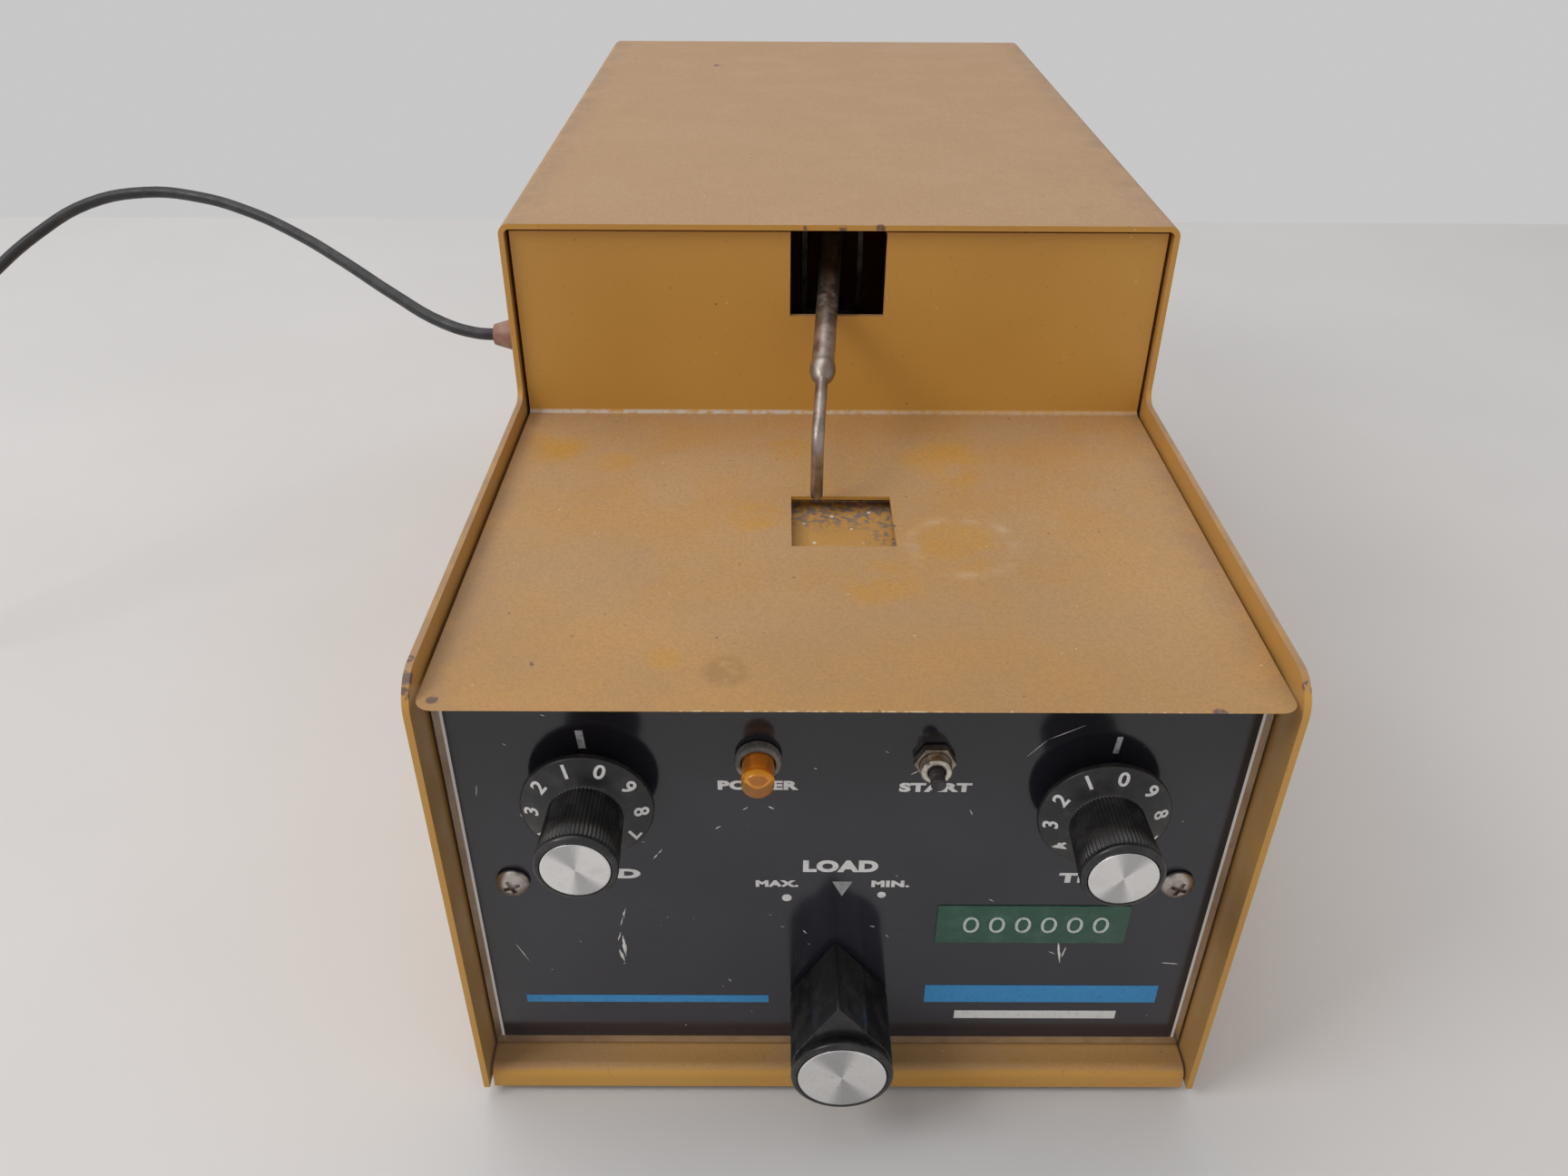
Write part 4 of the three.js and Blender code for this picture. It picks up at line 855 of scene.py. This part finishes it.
def make_load_knob():
    centre = centre_of("load_knob_cap")
    front, rear = low_of("load_knob").y, high_of("load_knob").y
    outline = pointer_outline(radius=12.1, tip=21.3, smooth=6.5, dip=0.32)
    face = front + 3.2
    turn = math.radians(-3.7)

    def ring(y, inset):
        shrink = 1 - inset / 12
        return [(centre.x + (x * math.cos(turn) + z * math.sin(turn)) * shrink, y,
                 centre.z + (z * math.cos(turn) - x * math.sin(turn)) * shrink) for x, z in outline]

    rings = [ring(face, 0.22), ring(face + 0.08, 0.08), ring(face + 0.3, 0.0), ring(face + 8, 0.0),
             ring(rear - 0.4, 0.0), ring(rear - 0.1, 0.1), ring(rear, 0.3)]
    mesh = swept("load_grip", rings)
    add_piece("load_grip", mesh, "knob_plastic", "load_dial", ["load_knob"])
    mesh.set_sharp_from_angle(angle=math.radians(38))
    collar = behind(
        front, (0.0, 0.9), (10.75, 0.9), (10.75, 0.1), (10.95, 0.0), (11.6, 0.1), (12.05, 0.45),
        (12.15, 0.9), (12.1, 1.5), (11.75, 1.85), (11.45, 2.05))
    collar += [(11.4, face + 0.05), (0.0, face + 0.05)]
    add_turned("load_collar", centre, collar, 96, "knob_plastic", "load_dial")
    make_cap("load", "load_dial", 0.25, 0.3)


# ---- lamp and push button
def make_lamp():
    centre = centre_of("lamp_lens")
    front, rear = low_of("lamp_lens").y, high_of("lamp_lens").y
    shell = behind(
        front, (0.0, 0.05), (2.5, 0.0), (3.0, 0.12), (3.35, 0.45), (3.5, 1.0))
    shell += [(3.5, PANEL - 2.0), (3.5, rear), (2.5, rear)]
    shell += behind(front, (2.45, 4.2), (2.1, 3.5), (1.2, 3.2), (0.0, 3.1))
    add_turned("lamp_glass", centre, shell, 64, "amber_lens", "housing", ["lamp_lens"])
    low, high = low_of("lamp_bezel").y, high_of("lamp_bezel").y
    radius = high_of("lamp_bezel").x - centre.x
    ring = [
        (3.75, high), (3.75, low + 0.3), (3.9, low + 0.05), (4.2, low), (radius - 0.35, low + 0.25),
        (radius, low + 0.7), (radius, high - 0.1), (radius - 0.1, high), (3.75, high),
    ]
    wave = flutes(30, low + 0.6, high - 0.05, 0.22)

    def outer_only(angle, y, r):
        return wave(angle, y, r) if r > radius - 0.05 else 0.0

    add_turned("lamp_ring", centre, ring, 150, "lamp_bezel", "housing", ["lamp_bezel"], wave=outer_only)
    bulb = behind(front, (0.0, 4.6), (0.7, 4.7), (1.3, 5.1), (1.6, 5.8))
    bulb += behind(rear, (1.6, -0.5), (0.0, -0.5))
    core = moulded_look("core_white", (0.75, 0.70, 0.6), (0.8, 0.78, 0.7), 0.5)
    add_turned("lamp_core", centre, bulb, 32, "mill_aluminium", "housing", look=core)


def make_push_button():
    centre = centre_of("start_button")
    bush_front = low_of("start_switch").y - 0.2
    pitch, outer = 0.55, 3.36  # of the thread
    root = outer - 0.17
    keyway, key_half, key_deep = math.radians(-42), 0.16, 0.18

    def groove(angle, y, r):
        if r < 2.6:
            return 0.0
        off = abs((angle - keyway + math.pi) % (2 * math.pi) - math.pi)
        return -key_deep if off < key_half else 0.0

    profile = [(1.95, PANEL - 0.35), (1.95, bush_front + 0.25), (2.15, bush_front), (2.75, bush_front),
               (3.15, bush_front + 0.25)]
    y = bush_front + 0.3
    while y < PANEL - 0.9:
        profile += behind(y, (outer, 0.12), (outer, 0.2), (root, pitch - 0.18), (root, pitch - 0.1))
        y += pitch
    profile += [(outer, PANEL - 0.35), (1.95, PANEL - 0.35)]
    silver = metal_look("bush_silver", (0.78, 0.74, 0.66), (0.48, 0.42, 0.35), 0.32, 1.2)
    add_turned("start_bush", centre, profile, 72, "plated_steel", "housing", look=silver, wave=groove)
    front, rear = low_of("start_button").y, high_of("start_button").y
    radius = high_of("start_button").x - centre.x
    plunger = behind(
        front, (0.0, 0.22), (radius - 0.5, 0.2), (radius - 0.35, 0.02), (radius - 0.18, 0.0),
        (radius - 0.02, 0.2), (radius, 0.5), (radius - 0.05, 1.6), (radius - 0.14, 1.7),
        (radius - 0.14, 1.85), (radius, 2.0))
    plunger += [(radius, rear), (0.0, rear)]
    look = moulded_look("plunger_purple", (0.030, 0.022, 0.028), (0.22, 0.18, 0.18), 0.42, 0.5, 0.35)
    add_turned("start_plunger_pin", centre, plunger, 48, "knob_plastic", "start_plunger",
               ["start_button"], look)


# ---- prints on the panel
INK = 0.05  # how far a print stands off the panel


def panel_word(name, word, x, z, width, height):
    mesh, span_x, span_y = text_mesh(name, word, embolden=0.06, tracking=1.1)
    fitted(mesh, span_x, span_y, width, height, 0.04)
    placed(mesh, (1, 0, 0), (0, 0, 1), (x, PANEL - INK, z))
    add_piece(name, mesh, "print_white", "housing")


def flat_print(name, corners, slot="print_white", look=None):
    """A thin print with the outline corners, (x, z) on the panel."""
    front = [(x, PANEL - INK - 0.02, z) for x, z in corners]
    back = [(x, PANEL - 0.015, z) for x, z in corners]
    mesh = swept(name, [front, back])
    mesh.polygons.foreach_set("use_smooth", [False] * len(mesh.polygons))
    add_piece(name, mesh, slot, "housing", look=look)


def round_dot(x, z, radius):
    steps = 20
    angles = [2 * math.pi * i / steps for i in range(steps)]
    return [(x + radius * math.cos(angle), z + radius * math.sin(angle)) for angle in angles]


def bar(x0, x1, z0, z1, slant=0.0):
    return [(x0 + slant, z0), (x1 + slant, z0), (x1, z1), (x0, z1)]


def scratch_outline(rng, x0, z0, x1, z1, width):
    """A ragged streak from one point to the other."""
    length = math.dist((x0, z0), (x1, z1))
    steps = max(4, int(length / 0.9))
    across = (-(z1 - z0) / length, (x1 - x0) / length)
    sides = ([], [])
    for i in range(steps + 1):
        share = i / steps
        swell = math.sin(math.pi * min(max(share, 0.04), 0.96))
        for side, sign in zip(sides, (1, -1)):
            off = sign * width * swell * rng.uniform(0.35, 1.0) / 2
            side.append((x0 + (x1 - x0) * share + across[0] * off,
                         z0 + (z1 - z0) * share + across[1] * off))
    return sides[0] + sides[1][::-1]


def make_prints():
    panel_word("word_power", "POWER", -20.1, 96.2, 17.8, 2.75)
    panel_word("word_start", "START", 18.9, 95.7, 16.0, 2.7)
    panel_word("word_speed", "SPEED", -58.2, 68.4, 21.2, 3.2)
    panel_word("word_time", "TIME", 57.0, 67.4, 14.6, 3.2)
    panel_word("word_load", "LOAD", -1.2, 71.0, 17.4, 3.9)
    panel_word("word_max", "MAX.", -15.9, 65.2, 10.0, 2.2)
    panel_word("word_min", "MIN.", 10.6, 65.2, 8.9, 2.2)
    grey = print_look("mark_grey", (0.30, 0.31, 0.31), 0.5)
    flat_print("mark_load", [(-3.0, 65.9), (-0.65, 61.0), (1.7, 65.9)], look=grey)
    flat_print("dot_max", round_dot(-13.6, 60.4, 1.15))
    flat_print("dot_min", round_dot(8.7, 61.5, 1.0))
    silver = print_look("index_silver", (0.42, 0.42, 0.43), 0.9)
    flat_print("line_speed", bar(-59.0, -57.4, 106.7, 111.7, 0.4), look=silver)
    flat_print("line_time", bar(56.7, 57.9, 105.8, 110.4, -0.4), look=silver)
    flat_print("stripe_left", bar(-79.0, -18.0, 22.0, 24.7), "print_blue")
    flat_print("block_right", bar(21.3, 79.8, 22.3, 28.8), "print_blue")
    flat_print("bar_right", bar(29.4, 70.6, 15.9, 18.9))


SCRATCHES = [  # x and z of both ends, and the width
    (-51.9, 56.5, -53.0, 52.0, 0.7), (-52.4, 54.5, -53.5, 50.5, 0.6), (-53.6, 48.2, -54.5, 45.0, 0.5),
    (-53.2, 47.0, -52.9, 39.5, 1.1), (-54.4, 42.0, -53.4, 37.5, 0.9), (52.4, 45.5, 53.9, 37.2, 0.8),
    (54.6, 43.2, 54.0, 39.5, 0.6), (79.0, 37.5, 83.2, 37.0, 0.55), (50.6, 41.5, 52.4, 40.6, 0.35),
    (-44.4, 73.2, -43.3, 74.8, 0.45), (-43.2, 74.9, -42.2, 76.3, 0.5), (-23.6, 88.7, -22.4, 89.6, 0.4),
    (-17.9, 89.8, -16.6, 89.0, 0.5), (-29.9, 82.8, -28.6, 83.7, 0.4), (6.4, 50.6, 7.6, 50.3, 0.35),
    (-79.5, 44.0, -76.8, 37.5, 0.3), (-82.5, 92.5, -81.9, 96.0, 0.3), (38.0, 104.8, 41.8, 109.4, 0.25),
    (42.0, 109.6, 49.5, 113.6, 0.22), (10.3, 47.6, 11.2, 46.6, 0.35), (27.0, 89.0, 27.8, 87.4, 0.4),
    (-9.6, 49.0, -8.7, 47.8, 0.4), (34.2, 60.0, 35.4, 59.3, 0.3), (-66.0, 116.0, -64.8, 115.6, 0.3),
    (13.2, 99.4, 15.0, 100.6, 0.3), (70.5, 62.0, 71.5, 61.2, 0.35), (-28.0, 31.0, -27.2, 30.0, 0.35),
]
NICKS = 26


def make_scratches():
    """Worn-through scratches in the panel's black face, with small nicks scattered between them."""
    rng = random.Random(7)
    streaks = list(SCRATCHES)
    for _ in range(NICKS):
        x, z = rng.uniform(-83, 83), rng.uniform(12, 118)
        angle = rng.uniform(0, math.pi)
        length = rng.uniform(0.3, 1.1)
        end_x, end_z = x + length * math.cos(angle), z + length * math.sin(angle)
        streaks.append((x, z, end_x, end_z, rng.uniform(0.12, 0.3)))
    made = []
    for i, (x0, z0, x1, z1, width) in enumerate(streaks):
        outline = scratch_outline(rng, x0, z0, x1, z1, width)
        front = [(x, PANEL - 0.03, z) for x, z in outline]
        back = [(x, PANEL - 0.01, z) for x, z in outline]
        made.append(swept(f"scratch_{i}", [front, back]))
    worn = print_look("scratch_pale", (0.80, 0.79, 0.78), 0.4)
    whole = joined("panel_scratches", made)
    add_piece("panel_scratches", whole, "panel_plate", "housing", look=worn)


def rounded_slab(name, x0, x1, z0, z1, front, corner, edge):
    """A thin slab on the panel with rounded corners and a rolled front edge."""
    def ring(y, inset):
        points = []
        for cx, cz, first in ((x1, z1, 0), (x0, z1, 90), (x0, z0, 180), (x1, z0, 270)):
            for k in range(6):
                angle = math.radians(first + 18 * k)
                px = cx - math.copysign(corner, cx - (x0 + x1) / 2)
                pz = cz - math.copysign(corner, cz - (z0 + z1) / 2)
                r = corner - inset
                points.append((px + r * math.cos(angle), y, pz + r * math.sin(angle)))
        return points

    rolled = [ring(front, edge), ring(front + 0.3 * edge, 0.3 * edge), ring(front + edge, 0.0)]
    return swept(name, [*rolled, ring(PANEL - 0.02, 0.0)])


def make_label():
    """Embossed tape, its number replaced by plain zeros."""
    x0, x1, z0, z1 = 22.3, 68.4, 44.9, 57.9
    front = PANEL - 0.35
    mesh = rounded_slab("label_tape_strip", x0, x1, z0, z1, front, 0.6, 0.15)
    add_piece("label_tape_strip", mesh, "label_tape", "housing")
    mesh.set_sharp_from_angle(angle=math.radians(50))
    digits, span_x, span_y = text_mesh("label_digits", "000000", -0.012, 1.35)
    fitted(digits, span_x, span_y, 35.0, 5.3, 0.3)
    placed(digits, (1, 0, 0), (0, 0, 1), (46.2, front - 0.1, 51.6))
    white = print_look("embossed_white", (0.55, 0.62, 0.58), 0.6)
    add_piece("label_digits", digits, "label_tape", "housing", look=white)


# ---- load arm
ARM_TURN = math.radians(-4.0)  # seen from above, at rest
ARM_SLOPE = math.radians(17.3)  # the thick rod's, down towards the front
ARM_REACH, ARM_SHOULDER = 89.5, 69.7  # from the pivot to the pin, and to the shoulder
ARM_BEND = 6.5
ARM_THICK, ARM_THIN = 3.0, 1.6  # radii


def thick_rod():
    """(along, radius) down the thick rod and over its shoulder to the thin pin."""
    thick, thin, shoulder = ARM_THICK, ARM_THIN, ARM_SHOULDER
    return [
        (9.0, thick), (30.0, thick), (50.0, thick), (60.0, thick), (shoulder - 6, thick),
        (shoulder - 4, thick), (shoulder - 2.6, thick + 0.1), (shoulder - 1.8, thick + 0.34),
        (shoulder - 1.0, thick + 0.42), (shoulder, thick + 0.4), (shoulder + 0.8, thick + 0.2),
        (shoulder + 1.7, thick - 0.25), (shoulder + 2.6, thick - 0.75), (shoulder + 3.4, thin + 0.22),
        (shoulder + 4.4, thin + 0.04), (shoulder + 6, thin),
    ]


def arm_stations(foot):
    """(forward, up, radius, heading) along the rod, from the pivot to its tip at the height foot."""
    stations = [(along * math.cos(ARM_SLOPE), -along * math.sin(ARM_SLOPE), radius, ARM_SLOPE)
                for along, radius in thick_rod()]
    corner = ARM_REACH / math.cos(ARM_SLOPE) - ARM_BEND
    before = (corner * math.cos(ARM_SLOPE), -corner * math.sin(ARM_SLOPE))
    peak = (ARM_REACH, -ARM_REACH * math.tan(ARM_SLOPE))
    after = (ARM_REACH, peak[1] - ARM_BEND)
    steps = 14
    for i in range(steps + 1):
        t = i / steps
        f = (1 - t) ** 2 * before[0] + 2 * t * (1 - t) * peak[0] + t * t * after[0]
        u = (1 - t) ** 2 * before[1] + 2 * t * (1 - t) * peak[1] + t * t * after[1]
        df = 2 * (1 - t) * (peak[0] - before[0]) + 2 * t * (after[0] - peak[0])
        du = 2 * (1 - t) * (peak[1] - before[1]) + 2 * t * (after[1] - peak[1])
        stations.append((f, u, ARM_THIN, math.atan2(-du, df)))
    down = math.pi / 2
    stations.append((ARM_REACH, foot + 6, ARM_THIN, down))
    for share in (0.0, 0.3, 0.55, 0.75, 0.9, 0.98):
        round_tip = ARM_THIN * math.sqrt(1 - share * share)
        stations.append((ARM_REACH, foot + ARM_THIN * (1 - share), round_tip, down))
    return stations


def make_arm():
    """The bent load arm's rod, as one smooth skin. The CAD arm keeps its eye and tail."""
    pivot = centre_of("arm_pivot_pin")
    foot = low_of("load_arm").z - pivot.z
    sides, rings = 28, []
    for forward, up, radius, heading in arm_stations(foot):
        ring = []
        for i in range(sides):
            angle = 2 * math.pi * i / sides
            across = radius * math.cos(angle)
            lift = radius * math.sin(angle)
            f = forward + lift * math.sin(heading)
            z = up + lift * math.cos(heading)
            x = across * math.cos(ARM_TURN) + f * math.sin(ARM_TURN)
            y = across * math.sin(ARM_TURN) - f * math.cos(ARM_TURN)
            ring.append((pivot.x + x, pivot.y + y, pivot.z + z))
        rings.append(ring)
    add_piece("arm_rod", swept("arm_rod", rings), "arm_steel", "arm")


# ---- CAD nodes that keep their shape
EDGE_WIDTH = 0.25
EDGE_WIDTHS = {
    "cover": 0.45, "deck_sheet": 0.35, "recess_pan": 0.2, "base_chassis": 0.35, "front_panel": 0.12,
    "cord_gland": 0.5, "cord_tie": 0.25, "cord_plug": 1.2, "start_nut": 0.35, "swing_yoke": 0.2,
}


def coat(node, material):
    node.data.materials.clear()
    node.data.materials.append(material)


def dress_nodes():
    slots = {row["node"]: row["material_slot"] for row in frame["record"]["subparts"]}
    aluminium = metal_look("spun_plain", (0.8, 0.79, 0.77), (0.6, 0.58, 0.56), 0.3)
    for name, node in NODES.items():
        coat(node, LOOKS.get(slots.get(name), aluminium))
        if not node.hide_render and name != "load_spring":
            soften(node, EDGE_WIDTHS.get(name, EDGE_WIDTH), 3 if name == "cover" else 2)
    coat(NODES["start_nut"], metal_look("nut_worn", (0.50, 0.43, 0.36), (0.20, 0.155, 0.12), 0.38, 1.5))
    # dark worn steel for the parts seen through the arm window; much of the darkness is painted shade
    # under the cover
    dark_worn_shaded = metal_look("yoke_dark_worn_shaded", (0.15, 0.13, 0.115), (0.06, 0.05, 0.045), 0.5, 2.0)
    for name in ("swing_yoke", "arm_pivot_pin", "mechanism_frame", "guide_support_front"):
        coat(NODES[name], dark_worn_shaded)
    worn = metal_look("screw_worn", (0.60, 0.55, 0.51), (0.24, 0.19, 0.16), 0.34, 1.6)
    for side in ("left", "right"):
        coat(NODES[f"panel_screw_{side}"], worn)


# ---- stage and light
def make_stage():
    half, front = 2.2, -2.2
    rear = at(0, 748, 0).y  # its far edge shows behind the machine
    mesh = bpy.data.meshes.new("table")
    corners = [(-half, front, 0), (half, front, 0), (half, rear, 0), (-half, rear, 0)]
    mesh.from_pydata(corners, [], [(0, 1, 2, 3)])
    table = add_object("table", mesh)
    mesh.materials.append(floor_look())


def area_light(name, place, target, size, power, colour=(1, 1, 1)):
    data = bpy.data.lights.new(name, "AREA")
    data.shape = "RECTANGLE"
    data.size, data.size_y = size
    data.energy = power
    data.color = colour
    light = add_object(name, data)
    light.location = place
    light.rotation_mode = "QUATERNION"
    light.rotation_quaternion = (Vector(target) - Vector(place)).to_track_quat("-Z", "Y")


def make_light():
    scene = bpy.context.scene
    scene.view_settings.view_transform = "Standard"
    world = bpy.data.worlds.new("room")
    world.use_nodes = True
    sky = world.node_tree.nodes["Background"]
    sky.inputs["Color"].default_value = (0.965, 0.955, 0.96, 1)
    sky.inputs["Strength"].default_value = 0.60
    scene.world = world
    area_light("ceiling", (-0.5, 0.35, 1.9), (0, 0, 0.1), (1.6, 1.1), 9, (1.0, 0.985, 0.96))
    area_light("window", (-1.0, -0.55, 1.15), (0, 0, 0.1), (0.6, 0.5), 6.5, (1.0, 0.985, 0.97))


# ---- everything
make_camera()
make_cord()
make_dial("speed", 18.0)
make_dial("time", 10.5)
make_load_knob()
make_lamp()
make_push_button()
make_prints()
make_scratches()
make_label()
make_arm()
dress_nodes()
make_stage()
make_light()

bpy.context.view_layer.update()
